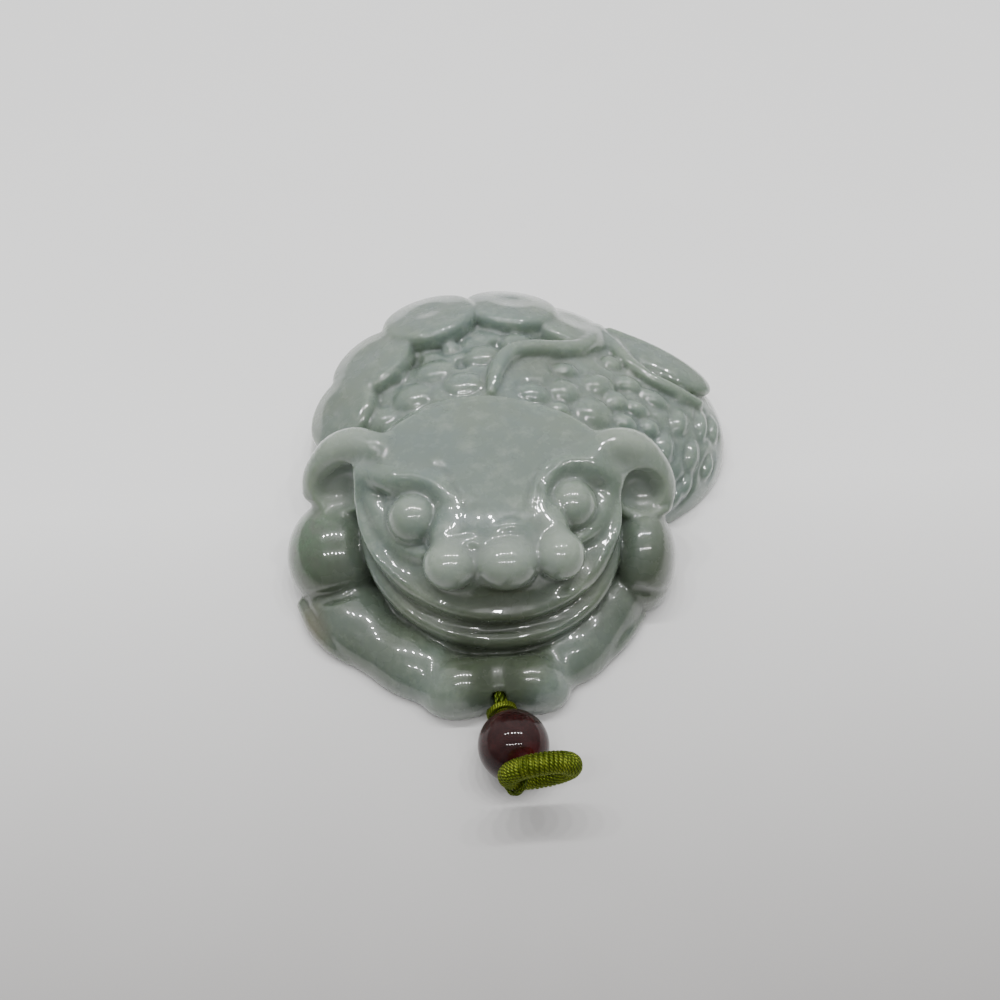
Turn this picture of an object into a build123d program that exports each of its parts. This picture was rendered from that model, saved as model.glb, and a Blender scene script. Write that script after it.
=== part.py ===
from build123d import *
import math
import os

import numpy as np

os.makedirs("parts", exist_ok=True)

# Carved toad pendant of pale jade, hung from a green silk thread with one round bead and a thread-wound eye.
# Millimetres. The toad faces -Y, +X is to the right as one looks at its face, +Z is up, and the flat
# underside lies at Z = 0.

# The block the toad is cut from. Every form of the carving is placed in the carver's cells: the block's
# width is divided in 50, its length in 60 and its height in 20. X counts from the middle of the head, Y from
# behind the eyes and Z from the underside.
toad_width = 50.0
toad_length = 60.0
toad_height = 20.0
cell = np.array([toad_width / 50, toad_length / 60, toad_height / 20])

# fineness of the carved surface: rings of facets from crown to rim, sectors of a ring, cells of the field
surface_rings = 47
surface_sectors = 5
field_step = 0.4
ray_centre = (1.6, 1.5, 0.0)
ray_reach = 42.0
ray_step = 0.1

# cord hole: one drilling from the front face, one from the underside, and a groove for the thread from
# there along the underside and up the front rim
rim_front_y = -24.0 * cell[1]
hole_radius = 0.8
hole_x = -0.45 * cell[0]
hole_z = 2.6 * cell[2]
hole_length = 2.5
hole_end_y = rim_front_y + hole_length
drill_overrun = 1.0
hole_mouth_y = rim_front_y - 2 * drill_overrun
groove_width = 1.3
groove_depth = 1.0
groove_front_y = rim_front_y + groove_depth / 2

# silk: a single strand in a closed loop round the jade, and the strands together through the bead
strand_radius = 0.34
stem_radius = 0.5
thread_gap = 0.1
bore_gap = 0.3
loop_front_y = rim_front_y
loop_low_z = groove_depth / 2
loop_corner = 0.45
loop_front = Vector(hole_x, loop_front_y, hole_z)

# bead
bead_radius = 3.58
bead_bore_radius = stem_radius + bore_gap
bead_bore_length = 2.5 * bead_radius
bead_lift = 0.02
bead_ahead = bead_radius + 1.42
bead_aside = 1.07
bead_centre = Vector(hole_x + bead_aside, rim_front_y - bead_ahead, bead_radius + bead_lift)
bead_way = (bead_centre - loop_front).normalized()

# winding round the strands, between carving and bead
binding_start = 0.58
binding_length = 0.86
binding_inner_radius = stem_radius + thread_gap
binding_outer_radius = 1.65
binding_rounding = 0.38

# wound eye: an oval ring of thread-wound cord, held by a last hitch of the strand round its end
eye_half_length = 2.95
eye_half_width = 2.15
eye_tube_radius = 1.1
eye_set_off = 2.1
eye_centre_way = Vector(2.02, -4.6, 4.3).normalized()
eye_centre = bead_centre + eye_centre_way * (bead_radius + eye_tube_radius + eye_set_off)
eye_long_way = Vector(0.992, 0.068, 0.107).normalized()
eye_out_way = Vector(0.081, -0.989, -0.129).normalized()
hitch_angle = math.radians(-145)
hitch_gap = thread_gap
stem_reach = 0.4

# body: domed back, full right flank, chest. Columns: x, y, z, half sizes wide, long, high, then turn, tilt
# and lean in degrees, and the width of the blend into what is there already.
body_forms = [
    (0.5, 11.5, 0.5, 22.0, 23.0, 14.6, 0, 0, 0, 1.0),
    (12.9, 12.2, 0.5, 17.4, 14.4, 11.0, 0, 0, 0, 3.0),
    (0.6, -8.0, 1.0, 14.0, 13.0, 2.6, 0, 0, 0, 1.0),
]

# warts, seated on the back. Columns: x, y, wide, long, turn.
warts = [
    (-5.6, 12.8, 2.6, 2.1, 10),
    (-2.2, 10.2, 2.7, 2.1, 0),
    (0.2, 14.8, 2.4, 2.0, 15),
    (-8.2, 9.6, 2.7, 2.2, 10),
    (-12.4, 7.8, 2.8, 2.1, 0),
    (4.6, 17.4, 2.2, 1.8, 0),
    (-3.4, 16.6, 1.4, 1.2, 0),
    (-9.6, 13.2, 1.2, 1.2, 0),
    (-6.0, 6.4, 2.0, 1.6, 0),
    (-10.0, 5.6, 2.0, 1.5, 0),
    (5.8, 8.6, 2.2, 1.7, -15),
    (9.5, 9.5, 2.3, 1.9, -10),
    (12.7, 7.0, 2.7, 2.2, -10),
    (13.7, 11.3, 2.3, 1.9, 0),
    (8.6, 6.6, 1.5, 1.2, 0),
    (9.9, 12.8, 1.9, 1.3, 0),
    (15.6, 9.2, 1.7, 1.6, 0),
    (18.0, 8.6, 1.9, 1.2, -20),
    (16.4, 6.4, 1.8, 1.3, -20),
    (19.4, 6.4, 1.5, 1.3, -20),
    (17.6, 12.2, 1.9, 1.4, -25),
    (15.8, 15.6, 1.6, 1.5, -20),
    (20.4, 10.6, 2.4, 1.3, -30),
    (14.2, 3.8, 1.8, 1.5, 0),
]

# scales down the right flank, long ways downhill. Columns as the warts.
scales = [
    (23.8, 12.2, 1.7, 1.9, -30),
    (23.2, 8.0, 1.5, 2.2, -10),
    (20.9, 4.4, 1.6, 2.3, 0),
    (24.4, 4.6, 1.3, 2.3, 5),
    (22.0, 0.6, 1.2, 2.1, 5),
    (26.2, 8.8, 1.2, 2.5, 0),
    (28.0, 9.4, 1.1, 2.3, 5),
    (18.4, 2.4, 1.3, 1.8, 0),
    (23.4, 1.8, 1.0, 1.9, 10),
    (26.6, 4.6, 1.0, 2.0, 10),
    (19.6, -0.4, 1.1, 1.9, 5),
]
seat_depth = 0.5
moat_width = 0.7
moat_depth = 0.6
moat_blend = 0.4
wart_rise = 0.45
wart_high = 1.5
wart_blend = 0.25

# pits drilled between the warts. Columns: x, y, wide, long, deep, turn.
pits = [
    (2.2, 16.6, 1.6, 1.0, 1.0, 25),
    (7.6, 18.0, 1.4, 1.0, 1.1, 0),
    (11.6, 18.6, 1.3, 1.0, 1.1, 20),
    (-2.0, 13.6, 1.3, 1.0, 0.9, 30),
    (-7.8, 15.0, 1.4, 1.0, 0.9, 30),
    (16.2, 10.9, 1.0, 1.2, 0.9, 0),
    (9.8, 8.9, 1.3, 0.9, 0.8, -30),
    (14.6, 8.4, 0.9, 1.1, 0.8, 0),
]
pit_lift = 0.2
pit_blend = 0.4

# coin discs along the left and rear edge, seated on the back. Columns: x, y, wide, long, high, lift, turn.
coins = [
    (-16.0, 10.6, 4.8, 5.2, 1.3, 0.6, -10),
    (-12.6, 16.6, 5.4, 5.6, 1.3, 0.5, -20),
    (11.6, 22.2, 5.4, 5.6, 1.2, 0.1, 10),
    (4.2, 24.0, 5.9, 5.6, 1.3, 0.5, 0),
    (-5.6, 22.0, 5.9, 5.8, 1.3, 0.9, 20),
]
coin_edge = 1.0
coin_drop = 0.5
coin_blend = 0.25
dish_depth = 0.22
dish_rim = 1.3

# the long leaf at the rear right and its rib, columns as the coins and as the vines
leaves = [
    (21.0, 18.6, 8.6, 4.0, 2.2, -0.6, -32),
]
leaf_rib = [(16.0, 21.4, 0.5), (18.6, 20.0, 0.6), (21.6, 18.2, 0.6), (24.2, 16.4, 0.5), (26.2, 14.8, 0.4)]
leaf_rib_lift = 1.2

# raised vine lines, seated on the back. Columns of each point: x, y, radius.
vines = [
    [(0.9, 8.4, 0.5), (1.5, 10.6, 0.9), (2.4, 12.9, 1.1), (4.0, 14.7, 1.15), (6.2, 15.4, 1.15),
     (9.2, 15.8, 1.15), (12.2, 16.9, 1.2), (14.0, 19.6, 1.2), (14.8, 22.4, 1.3)],
    [(14.8, 21.4, 1.2), (16.4, 18.8, 1.0), (17.8, 15.8, 0.9), (19.8, 13.6, 0.8), (22.8, 12.2, 0.8),
     (26.0, 11.6, 0.6)],
]
vine_lift = 0.2
vine_blend = 0.4

# shoulders, forearms and the paws that meet in the front collar. Columns as the body.
arm_forms = [
    (-15.4, -11.8, 1.0, 4.4, 7.4, 3.8, 38, 0, 0, 0.8),
    (-9.4, -17.4, 1.0, 4.0, 6.6, 3.6, 56, 0, 0, 1.2),
    (12.6, -12.2, 1.0, 3.6, 6.2, 4.1, -34, 0, 0, 0.8),
    (8.0, -16.9, 1.0, 4.0, 5.8, 3.6, -56, 0, 0, 1.2),
    (-3.4, -21.4, 1.4, 4.8, 2.9, 3.5, 16, 0, 0, 1.8),
    (2.6, -21.4, 1.4, 4.6, 2.8, 3.5, -16, 0, 0, 1.8),
    (-17.4, -4.2, 3.0, 5.6, 6.6, 6.0, -4, 0, 0, 0.3),
    (16.6, -7.2, 3.0, 4.0, 6.0, 6.6, -6, 0, 0, 0.3),
]

# rolls and grooves run through points of x, y, z, radius, and open with the width of their blend.
# grooves under the shoulders' lower edges
elbow_grooves = [
    (0.4, [(-23.6, -8.0, 2.4, 0.5), (-21.4, -10.2, 3.6, 0.7), (-18.6, -11.0, 4.6, 0.8),
           (-15.4, -10.8, 5.4, 0.8), (-13.4, -10.4, 6.0, 0.8)]),
    (0.4, [(20.2, -11.6, 3.0, 0.5), (17.8, -13.2, 4.4, 0.7), (15.2, -13.2, 5.4, 0.8),
           (13.0, -12.8, 6.0, 0.8)]),
]
# knuckles of the two paws, then the saddle between them and the flared mouth of the cord hole, cut away.
# Columns as the body.
knuckles = [
    (-4.2, -21.4, 3.0, 2.4, 2.4, 2.3, 16, 0, 0, 1.2),
    (3.2, -21.6, 3.0, 2.3, 2.3, 2.3, -16, 0, 0, 1.2),
]
paw_hollows = [
    (-0.5, -22.2, 6.2, 1.5, 3.4, 2.0, 0, 0, 0, 1.2),
    (-0.45, -24.5, 2.6, 1.15, 0.8, 1.15, 0, 0, 0, 0.4),
]
outer_toes = [
    (0.15, [(-21.0, -9.6, 1.2, 1.0), (-19.4, -12.2, 1.3, 1.5), (-17.6, -14.4, 1.2, 1.5),
            (-16.0, -16.0, 0.8, 1.1)]),
    (0.15, [(15.6, -13.2, 1.0, 1.0), (13.5, -15.4, 1.1, 1.4), (11.6, -17.2, 1.0, 1.4),
            (9.8, -18.6, 0.7, 1.1)]),
]

# roots of the ears, then the head: skull, cheeks, snout, chin. Columns as the body.
ear_roots = [
    (-15.2, 0.8, 9.5, 5.2, 3.6, 4.8, 0, 0, 0, 1.0),
    (-13.2, -1.2, 11.5, 2.6, 3.0, 3.6, 0, 0, 0, 1.0),
    (15.2, -1.8, 9.5, 5.2, 3.6, 4.8, 0, 0, 0, 1.0),
    (13.0, -2.8, 11.5, 2.4, 2.6, 3.6, 0, 0, 0, 1.0),
]
head_forms = [
    (0.0, -5.5, 7.5, 13.2, 11.0, 8.6, 0, 0, 0, 0.5),
    (0.0, -4.4, 11.6, 12.9, 8.0, 4.0, -6, 0, 0, 1.0),
    (0.6, -8.8, 11.8, 6.6, 6.0, 4.2, 0, 0, 0, 2.0),
    (0.0, -6.5, 3.6, 12.8, 11.8, 3.2, 0, 0, 0, 0.6),
]

# lower lip with the chin, upper lip, and the smooth top plate of the head, each a disc. Columns: x, y, z,
# wide, long, high, turn, tilt, lean, edge radius, drop from middle to edge, blend.
head_plates = [
    (-0.1, -5.9, 7.9, 14.3, 13.0, 1.3, -20, 14, 4.3, 1.0, 0.0, 0.3),
    (-0.3, -5.0, 11.5, 14.3, 12.6, 1.3, -20, 16, 4.2, 0.4, 0.0, 0.8),
    (0.3, -0.8, 13.4, 12.0, 7.0, 3.4, -4, 3, 0, 0.8, 0.6, 1.2),
]

# brow rolls round the eyes and the cross roll of the snout
brow_rolls = [
    (1.0, [(-13.0, -1.9, 14.2, 1.0), (-11.2, -3.0, 14.7, 1.4), (-9.2, -4.0, 14.9, 1.6),
           (-7.2, -4.9, 14.8, 2.0), (-5.4, -6.0, 14.5, 2.2), (-4.4, -7.8, 14.0, 2.0),
           (-4.4, -9.8, 13.5, 1.7)]),
    (1.0, [(12.9, -4.4, 13.4, 1.0), (12.2, -3.6, 14.4, 1.3), (10.6, -3.2, 14.9, 1.6),
           (8.4, -3.7, 15.1, 1.9), (6.4, -5.2, 14.8, 2.0), (5.3, -7.2, 14.3, 1.9),
           (5.2, -9.2, 13.6, 1.6)]),
    (0.3, [(-0.8, -11.2, 15.0, 0.5), (0.4, -11.0, 15.3, 0.7), (1.8, -10.8, 15.4, 0.7),
           (3.4, -10.9, 15.0, 0.5)]),
    (0.3, [(-3.8, -11.8, 14.4, 0.5), (-2.6, -11.9, 14.7, 0.7), (-1.4, -12.2, 14.6, 0.6)]),
]

# fine engraved lines inside the brows, cut away
brow_lines = [
    (0.15, [(6.8, -2.7, 16.85, 0.24), (5.9, -3.2, 16.75, 0.3), (5.1, -4.3, 16.72, 0.34),
            (4.4, -5.5, 16.6, 0.34), (3.8, -7.2, 16.4, 0.32), (3.4, -8.7, 16.25, 0.2)]),
    (0.15, [(7.1, -3.6, 17.05, 0.24), (6.4, -4.1, 16.95, 0.3), (5.6, -5.0, 16.82, 0.34),
            (5.0, -6.4, 16.6, 0.34), (4.7, -7.6, 16.4, 0.32), (4.3, -9.2, 15.95, 0.2)]),
    (0.15, [(-6.2, -2.8, 16.55, 0.2), (-5.2, -3.2, 16.52, 0.28), (-4.3, -4.4, 16.6, 0.32),
            (-3.7, -6.0, 16.6, 0.32), (-3.1, -7.2, 16.4, 0.3), (-3.0, -8.6, 16.15, 0.2)]),
]

# eye sockets and the hollows over the upper lip, cut away. Columns as the body.
face_hollows = [
    (-9.0, -8.0, 15.6, 3.5, 3.4, 2.1, 25, 30, -20, 1.2),
    (9.0, -7.2, 15.8, 3.3, 3.3, 2.1, -25, 30, 20, 1.2),
    (-10.2, -14.4, 12.6, 4.6, 3.2, 2.4, 50, 20, 0, 2.4),
    (11.0, -13.4, 12.6, 4.6, 3.2, 2.4, -50, 20, 0, 2.4),
    (0.8, -18.8, 10.9, 9.5, 3.7, 2.5, 0, 0, 0, 0.6),
]

# lower lids
lids = [
    (0.7, [(-12.8, -2.6, 13.2, 0.8), (-12.6, -4.2, 12.8, 0.8), (-11.9, -6.2, 12.2, 0.8),
           (-10.9, -8.2, 11.6, 0.8), (-9.2, -9.7, 11.2, 0.8), (-7.6, -10.8, 11.4, 0.7)]),
    (0.7, [(12.7, -3.6, 13.4, 0.7), (12.4, -5.4, 12.8, 0.8), (11.4, -7.4, 12.2, 0.8),
           (10.0, -9.2, 11.6, 0.8), (8.4, -10.4, 11.6, 0.6)]),
]

# three-lobed nose with its two bridges, then the eyeballs. Columns as the body.
nose_and_eyes = [
    (-4.8, -10.2, 13.4, 1.6, 3.6, 2.2, 0, 0, 0, 1.0),
    (6.1, -9.8, 13.4, 1.6, 3.6, 2.2, 0, 0, 0, 1.0),
    (-4.7, -13.3, 12.9, 2.8, 2.7, 2.5, 0, 0, 0, 0.7),
    (6.5, -13.0, 13.1, 2.6, 2.7, 2.5, 0, 0, 0, 0.7),
    (1.0, -13.8, 13.2, 3.2, 2.7, 2.6, 0, 0, 0, 0.7),
    (-8.2, -7.4, 13.1, 2.8, 2.8, 2.7, 0, 0, 0, 0.25),
    (8.3, -6.8, 13.3, 2.7, 2.8, 2.7, 0, 0, 0, 0.25),
]

# slit of the mouth, under the edge of the upper lip
mouth_groove = [
    (0.2, [(-13.9, -7.0, 9.2, 0.3), (-12.6, -9.6, 8.5, 0.4), (-11.4, -11.7, 8.0, 0.45),
           (-9.2, -14.3, 7.3, 0.45), (-7.2, -16.0, 6.9, 0.45), (-4.2, -17.0, 6.7, 0.45),
           (-0.6, -17.5, 6.6, 0.45), (3.3, -17.4, 6.7, 0.45), (7.3, -16.6, 6.9, 0.45),
           (10.2, -14.6, 7.5, 0.45), (12.2, -12.2, 8.3, 0.4), (13.1, -9.6, 9.3, 0.3)]),
]

# hollows of the ears, cut away, then the folded rims over them
ear_hollows = [
    (-17.2, -1.9, 12.4, 3.5, 2.8, 3.6, 25, -20, 0, 0.3),
    (16.7, -4.7, 12.0, 2.9, 2.8, 2.8, 0, -10, 0, 0.3),
]
ear_rims = [
    (1.0, [(-12.2, 0.8, 15.0, 1.9), (-14.4, 1.9, 14.6, 2.0), (-16.8, 1.9, 13.5, 1.8),
           (-18.9, 1.1, 11.4, 1.2), (-19.9, 0.1, 9.0, 0.7)]),
    (1.0, [(11.0, -1.6, 15.0, 1.8), (13.2, -0.6, 14.9, 2.1), (15.8, -0.3, 14.0, 2.1),
           (18.2, -1.2, 12.2, 1.5), (19.5, -2.8, 10.0, 0.9), (19.4, -4.2, 8.6, 0.7)]),
    (0.3, [(13.6, -4.8, 10.0, 0.5), (15.2, -5.4, 9.2, 0.5), (17.4, -5.5, 8.9, 0.5),
           (19.2, -4.8, 8.9, 0.5)]),
]


# The field holds, for each point of a grid over the block, the distance to the carved surface: below zero
# in the jade. Every form is worked out only in its own corner of the grid.
field_low = np.array([-28.0, -29.0, -2.4])
field_high = np.array([35.0, 40.0, 22.6])
field_far = 6.0
counts = np.ceil((field_high - field_low) / field_step).astype(int) + 1
axes = [field_low[i] + field_step * np.arange(counts[i]) for i in range(3)]
field = np.full(counts, field_far)


def turned(turn, tilt, lean):
    """Axes of a form turned about Z, tilted about its own X and leant about its own Y."""
    a, b, c = math.radians(turn), math.radians(tilt), math.radians(lean)
    about_z = np.array([[math.cos(a), -math.sin(a), 0], [math.sin(a), math.cos(a), 0], [0, 0, 1]])
    about_x = np.array([[1, 0, 0], [0, math.cos(b), -math.sin(b)], [0, math.sin(b), math.cos(b)]])
    about_y = np.array([[math.cos(c), 0, math.sin(c)], [0, 1, 0], [-math.sin(c), 0, math.cos(c)]])
    return about_z @ about_x @ about_y


def corner(low, high):
    """The slices of the grid between two corners, and its X, Y and Z there."""
    part = []
    for i in range(3):
        first = max(0, int((low[i] - field_low[i]) / field_step))
        last = min(counts[i], int((high[i] - field_low[i]) / field_step) + 2)
        part.append(slice(first, max(last, first)))
    x = axes[0][part[0]][:, None, None]
    y = axes[1][part[1]][None, :, None]
    z = axes[2][part[2]][None, None, :]
    return tuple(part), x, y, z


def work(part, distance, blend, cut):
    """Add a form to the field, or cut it away, with a rounded blend."""
    old = -field[part] if cut else field[part]
    near = np.maximum(blend - np.abs(old - distance), 0) / blend
    new = np.minimum(old, distance) - near * near * blend / 4
    field[part] = -new if cut else new


def own_axes(place, way, x, y, z):
    """The grid's X, Y and Z as seen from a form's place along its own axes."""
    offsets = (x - place[0], y - place[1], z - place[2])
    return [sum(way[j, i] * offsets[j] for j in range(3)) for i in range(3)]


def oval(place, half, way, blend, cut=False):
    reach = max(half) + blend + 2 * field_step
    part, x, y, z = corner(place - reach, place + reach)
    own = own_axes(place, way, x, y, z)
    share = np.sqrt(sum((own[i] / half[i]) ** 2 for i in range(3))) + 1e-6
    slope = np.sqrt(sum((own[i] / half[i] ** 2) ** 2 for i in range(3))) + 1e-6
    work(part, share * (share - 1) / slope, blend, cut)


def disc(place, half, way, edge, drop, blend):
    """A round-edged disc whose faces lie lower by the drop at the edge than in the middle."""
    reach = max(half) + blend + 2 * field_step
    part, x, y, z = corner(place - reach, place + reach)
    own = own_axes(place, way, x, y, z)
    core = (half[0] - edge, half[1] - edge)
    share = np.sqrt((own[0] / core[0]) ** 2 + (own[1] / core[1]) ** 2) + 1e-6
    slope = np.sqrt((own[0] / core[0] ** 2) ** 2 + (own[1] / core[1] ** 2) ** 2) + 1e-6
    side = share * (share - 1) / slope
    top = np.abs(own[2] + drop * np.minimum(share, 1) ** 2) - (half[2] - edge)
    outside = np.sqrt(np.maximum(side, 0) ** 2 + np.maximum(top, 0) ** 2)
    work(part, outside + np.minimum(np.maximum(side, top), 0) - edge, blend, False)


def smooth_line(points, spans=4):
    """The points of a smooth curve through the given ones, with their radii."""
    p = np.array(points, float)
    p = np.vstack([2 * p[0] - p[1], p, 2 * p[-1] - p[-2]])
    line = []
    for a, b, c, d in zip(p[:-3], p[1:-2], p[2:-1], p[3:]):
        for t in np.arange(spans) / spans:
            bend = (2 * a - 5 * b + 4 * c - d) * t ** 2 + (3 * b - a - 3 * c + d) * t ** 3
            line.append((2 * b + (c - a) * t + bend) / 2)
    line.append(p[-2])
    return np.array(line)


def roll(points, blend, cut=False):
    line = smooth_line(points)
    reach = line[:, 3].max() + blend + 2 * field_step
    part, x, y, z = corner(line[:, :3].min(0) - reach, line[:, :3].max(0) + reach)
    nearest = np.full((x + y + z).shape, np.inf)
    for a, b in zip(line[:-1], line[1:]):
        way = b[:3] - a[:3]
        share = ((x - a[0]) * way[0] + (y - a[1]) * way[1] + (z - a[2]) * way[2]) / (way @ way)
        share = np.clip(share, 0, 1)
        gap = np.sqrt((x - a[0] - share * way[0]) ** 2 + (y - a[1] - share * way[1]) ** 2
                      + (z - a[2] - share * way[2]) ** 2)
        nearest = np.minimum(nearest, gap - a[3] - share * (b[3] - a[3]))
    work(part, nearest, blend, cut)


def sample(grid, points):
    """The grid's values at points between its own."""
    place = (points - field_low) / field_step
    first = np.clip(np.floor(place).astype(int), 0, counts - 2)
    u, v, w = (place - first).T
    i, j, k = first.T
    near = grid[i, j, k] * (1 - u) + grid[i + 1, j, k] * u
    far = grid[i, j + 1, k] * (1 - u) + grid[i + 1, j + 1, k] * u
    near_up = grid[i, j, k + 1] * (1 - u) + grid[i + 1, j, k + 1] * u
    far_up = grid[i, j + 1, k + 1] * (1 - u) + grid[i + 1, j + 1, k + 1] * u
    return (near * (1 - v) + far * v) * (1 - w) + (near_up * (1 - v) + far_up * v) * w


def seat(x, y, lift, turn):
    """The place lifted off the bare back over x, y, and the axes there, the third one straight out."""
    column = np.array([(x, y, z) for z in axes[2]])
    values = sample(bare_back, column)
    last = np.max(np.where(values < 0))
    z = axes[2][last] + field_step * values[last] / (values[last] - values[last + 1])
    place = np.array([x, y, z])
    spread = field_step * np.eye(3)
    out = sample(bare_back, place + spread) - sample(bare_back, place - spread)
    out = out / np.linalg.norm(out)
    ahead = np.array([-math.sin(math.radians(turn)), math.cos(math.radians(turn)), 0])
    side = np.cross(ahead, out)
    side = side / np.linalg.norm(side)
    return place + lift * out, np.stack([side, np.cross(out, side), out], 1)


def ovals(table, cut=False):
    for x, y, z, wide, long, high, turn, tilt, lean, blend in table:
        oval(np.array([x, y, z]), (wide, long, high), turned(turn, tilt, lean), blend, cut)


def rolls(table, cut=False):
    for blend, points in table:
        roll(points, blend, cut)


# the body, and what is seated on its bare back: moats, pits, warts and scales, coins, vines
ovals(body_forms)
bare_back = field.copy()
for x, y, wide, long, turn in warts + scales:
    place, way = seat(x, y, seat_depth, turn)
    oval(place, (wide + moat_width, long + moat_width, seat_depth + moat_depth), way, moat_blend, True)
for x, y, wide, long, deep, turn in pits:
    place, way = seat(x, y, pit_lift, turn)
    oval(place, (wide, long, deep + pit_lift), way, pit_blend, True)
for x, y, wide, long, turn in warts + scales:
    place, way = seat(x, y, wart_rise - wart_high, turn)
    oval(place, (wide, long, wart_high), way, wart_blend)
for x, y, wide, long, high, lift, turn in coins:
    place, way = seat(x, y, lift, turn)
    disc(place, (wide, long, high), way, coin_edge, coin_drop, coin_blend)
    dish = place + way[:, 2] * (2 * high - dish_depth)
    oval(dish, (wide - dish_rim, long - dish_rim, high), way, coin_blend, True)
for x, y, wide, long, high, lift, turn in leaves:
    place, way = seat(x, y, lift, turn)
    oval(place, (wide, long, high), way, coin_blend)
roll([(*seat(x, y, leaf_rib_lift, 0)[0], radius) for x, y, radius in leaf_rib], vine_blend)
for vine in vines:
    roll([(*seat(x, y, vine_lift, 0)[0], radius) for x, y, radius in vine], vine_blend)

# arms and paws
ovals(arm_forms)
rolls(elbow_grooves, True)
rolls(outer_toes)
ovals(knuckles)
ovals(paw_hollows, True)

# head and ears
ovals(ear_roots)
ovals(head_forms)
for x, y, z, wide, long, high, turn, tilt, lean, edge, drop, blend in head_plates:
    disc(np.array([x, y, z]), (wide, long, high), turned(turn, tilt, lean), edge, drop, blend)
rolls(brow_rolls)
rolls(brow_lines, True)
ovals(face_hollows, True)
rolls(lids)
ovals(nose_and_eyes)
rolls(mouth_groove, True)
ovals(ear_hollows, True)
rolls(ear_rims)

# Facets: rays leave a point on the underside in rings, from straight up to level, each ring with one more
# ray to a sector than the last. A facet corner lies where its ray leaves the jade.
ways = [(0.0, 0.0, 1.0)]
for ring in range(1, surface_rings + 1):
    fall = ring / surface_rings * math.pi / 2
    for step in range(surface_sectors * ring):
        round_about = 2 * math.pi * step / (surface_sectors * ring)
        level = 0.0 if ring == surface_rings else math.cos(fall)
        ways.append((math.sin(fall) * math.sin(round_about), math.sin(fall) * math.cos(round_about), level))
ways = np.array(ways)
distances = np.arange(ray_reach, 0, -ray_step)
corners = []
for way in ways:
    values = sample(field, np.array(ray_centre) + distances[:, None] * way)
    first = np.argmax(values < 0)
    share = values[first - 1] / (values[first - 1] - values[first])
    corners.append((np.array(ray_centre) + (distances[first - 1] - share * ray_step) * way) * cell)


def ring_start(ring):
    return 1 + surface_sectors * ring * (ring - 1) // 2 if ring else 0


facets = []
for ring in range(surface_rings):
    inner, outer = surface_sectors * ring, surface_sectors * (ring + 1)
    for sector in range(surface_sectors):
        for step in range(ring + 1):
            a = ring_start(ring) + (sector * ring + step) % max(inner, 1)
            b = ring_start(ring + 1) + (sector * (ring + 1) + step) % outer
            c = ring_start(ring + 1) + (sector * (ring + 1) + step + 1) % outer
            facets.append((a, c, b))
            if step < ring:
                d = ring_start(ring) + (sector * ring + step + 1) % inner
                facets.append((a, d, c))

facet_faces = [Face(Wire.make_polygon([Vector(*corners[i]) for i in facet])) for facet in facets]
rim = [Vector(*corners[i]) for i in range(ring_start(surface_rings), len(corners))]
underside = Face(Wire.make_polygon(rim))

on_end = (Align.CENTER, Align.CENTER, Align.MIN)
behind = (Align.CENTER, Align.MAX, Align.MIN)
drilled_length = hole_end_y - hole_mouth_y
front_length = groove_front_y - hole_mouth_y
with BuildPart() as drills:
    with Locations(Plane(origin=(hole_x, hole_mouth_y, hole_z), z_dir=(0, 1, 0))):
        Cylinder(hole_radius, drilled_length, align=on_end)
    with Locations((hole_x, hole_end_y, -drill_overrun)):
        Cylinder(hole_radius, hole_z + drill_overrun, align=on_end)
    with Locations((hole_x, hole_end_y, hole_z)):
        Sphere(hole_radius)
    with Locations((hole_x, hole_end_y, -drill_overrun)):
        Box(groove_width, drilled_length, groove_depth + drill_overrun, align=behind)
    with Locations((hole_x, groove_front_y, -drill_overrun)):
        Box(groove_width, front_length, hole_z + drill_overrun, align=behind)

with BuildPart() as toad_carving:
    add(Solid(Shell(facet_faces + [underside])))
    add(drills.part, mode=Mode.SUBTRACT)

# the strand's loop round the jade, the strands through the bead, and the hitch round the end of the eye
loop_plane = Plane(origin=(hole_x, 0, 0), x_dir=(0, 1, 0), z_dir=(1, 0, 0))
eye_plane = Plane(origin=eye_centre, x_dir=eye_long_way, z_dir=eye_out_way)
stem_end = bead_centre + bead_way * (bead_radius + stem_reach)
hitch_along = eye_half_length * math.cos(hitch_angle)
hitch_across = eye_half_width * math.sin(hitch_angle)
hitch_centre = eye_centre + eye_plane.x_dir * hitch_along + eye_plane.y_dir * hitch_across
slope_along = -eye_half_length * math.sin(hitch_angle)
slope_across = eye_half_width * math.cos(hitch_angle)
hitch_way = (eye_plane.x_dir * slope_along + eye_plane.y_dir * slope_across).normalized()
hitch_radius = eye_tube_radius + hitch_gap + strand_radius
to_stem = stem_end - hitch_centre
hitch_side = (to_stem - hitch_way * to_stem.dot(hitch_way)).normalized()
hitch_start = hitch_centre + hitch_side * (hitch_radius + strand_radius / 2)
hitch_length = (hitch_start - stem_end).length
with BuildPart() as hanging_thread:
    with BuildLine(loop_plane) as loop_path:
        FilletPolyline(
            (loop_front_y, hole_z),
            (hole_end_y, hole_z),
            (hole_end_y, loop_low_z),
            (loop_front_y, loop_low_z),
            radius=loop_corner,
            close=True,
        )
    with BuildSketch(Plane(origin=loop_path.line @ 0, z_dir=loop_path.line % 0)):
        Circle(strand_radius)
    sweep(path=loop_path.line)
    with Locations(Plane(origin=loop_front, z_dir=bead_way)):
        Cylinder(stem_radius, (stem_end - loop_front).length, align=on_end)
    with Locations(Plane(origin=stem_end, z_dir=hitch_start - stem_end)):
        Cylinder(strand_radius, hitch_length, align=on_end)
    with Locations(stem_end):
        Sphere(stem_radius)
    with Locations(Plane(origin=hitch_centre, z_dir=hitch_way)):
        Torus(hitch_radius, strand_radius)

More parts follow.
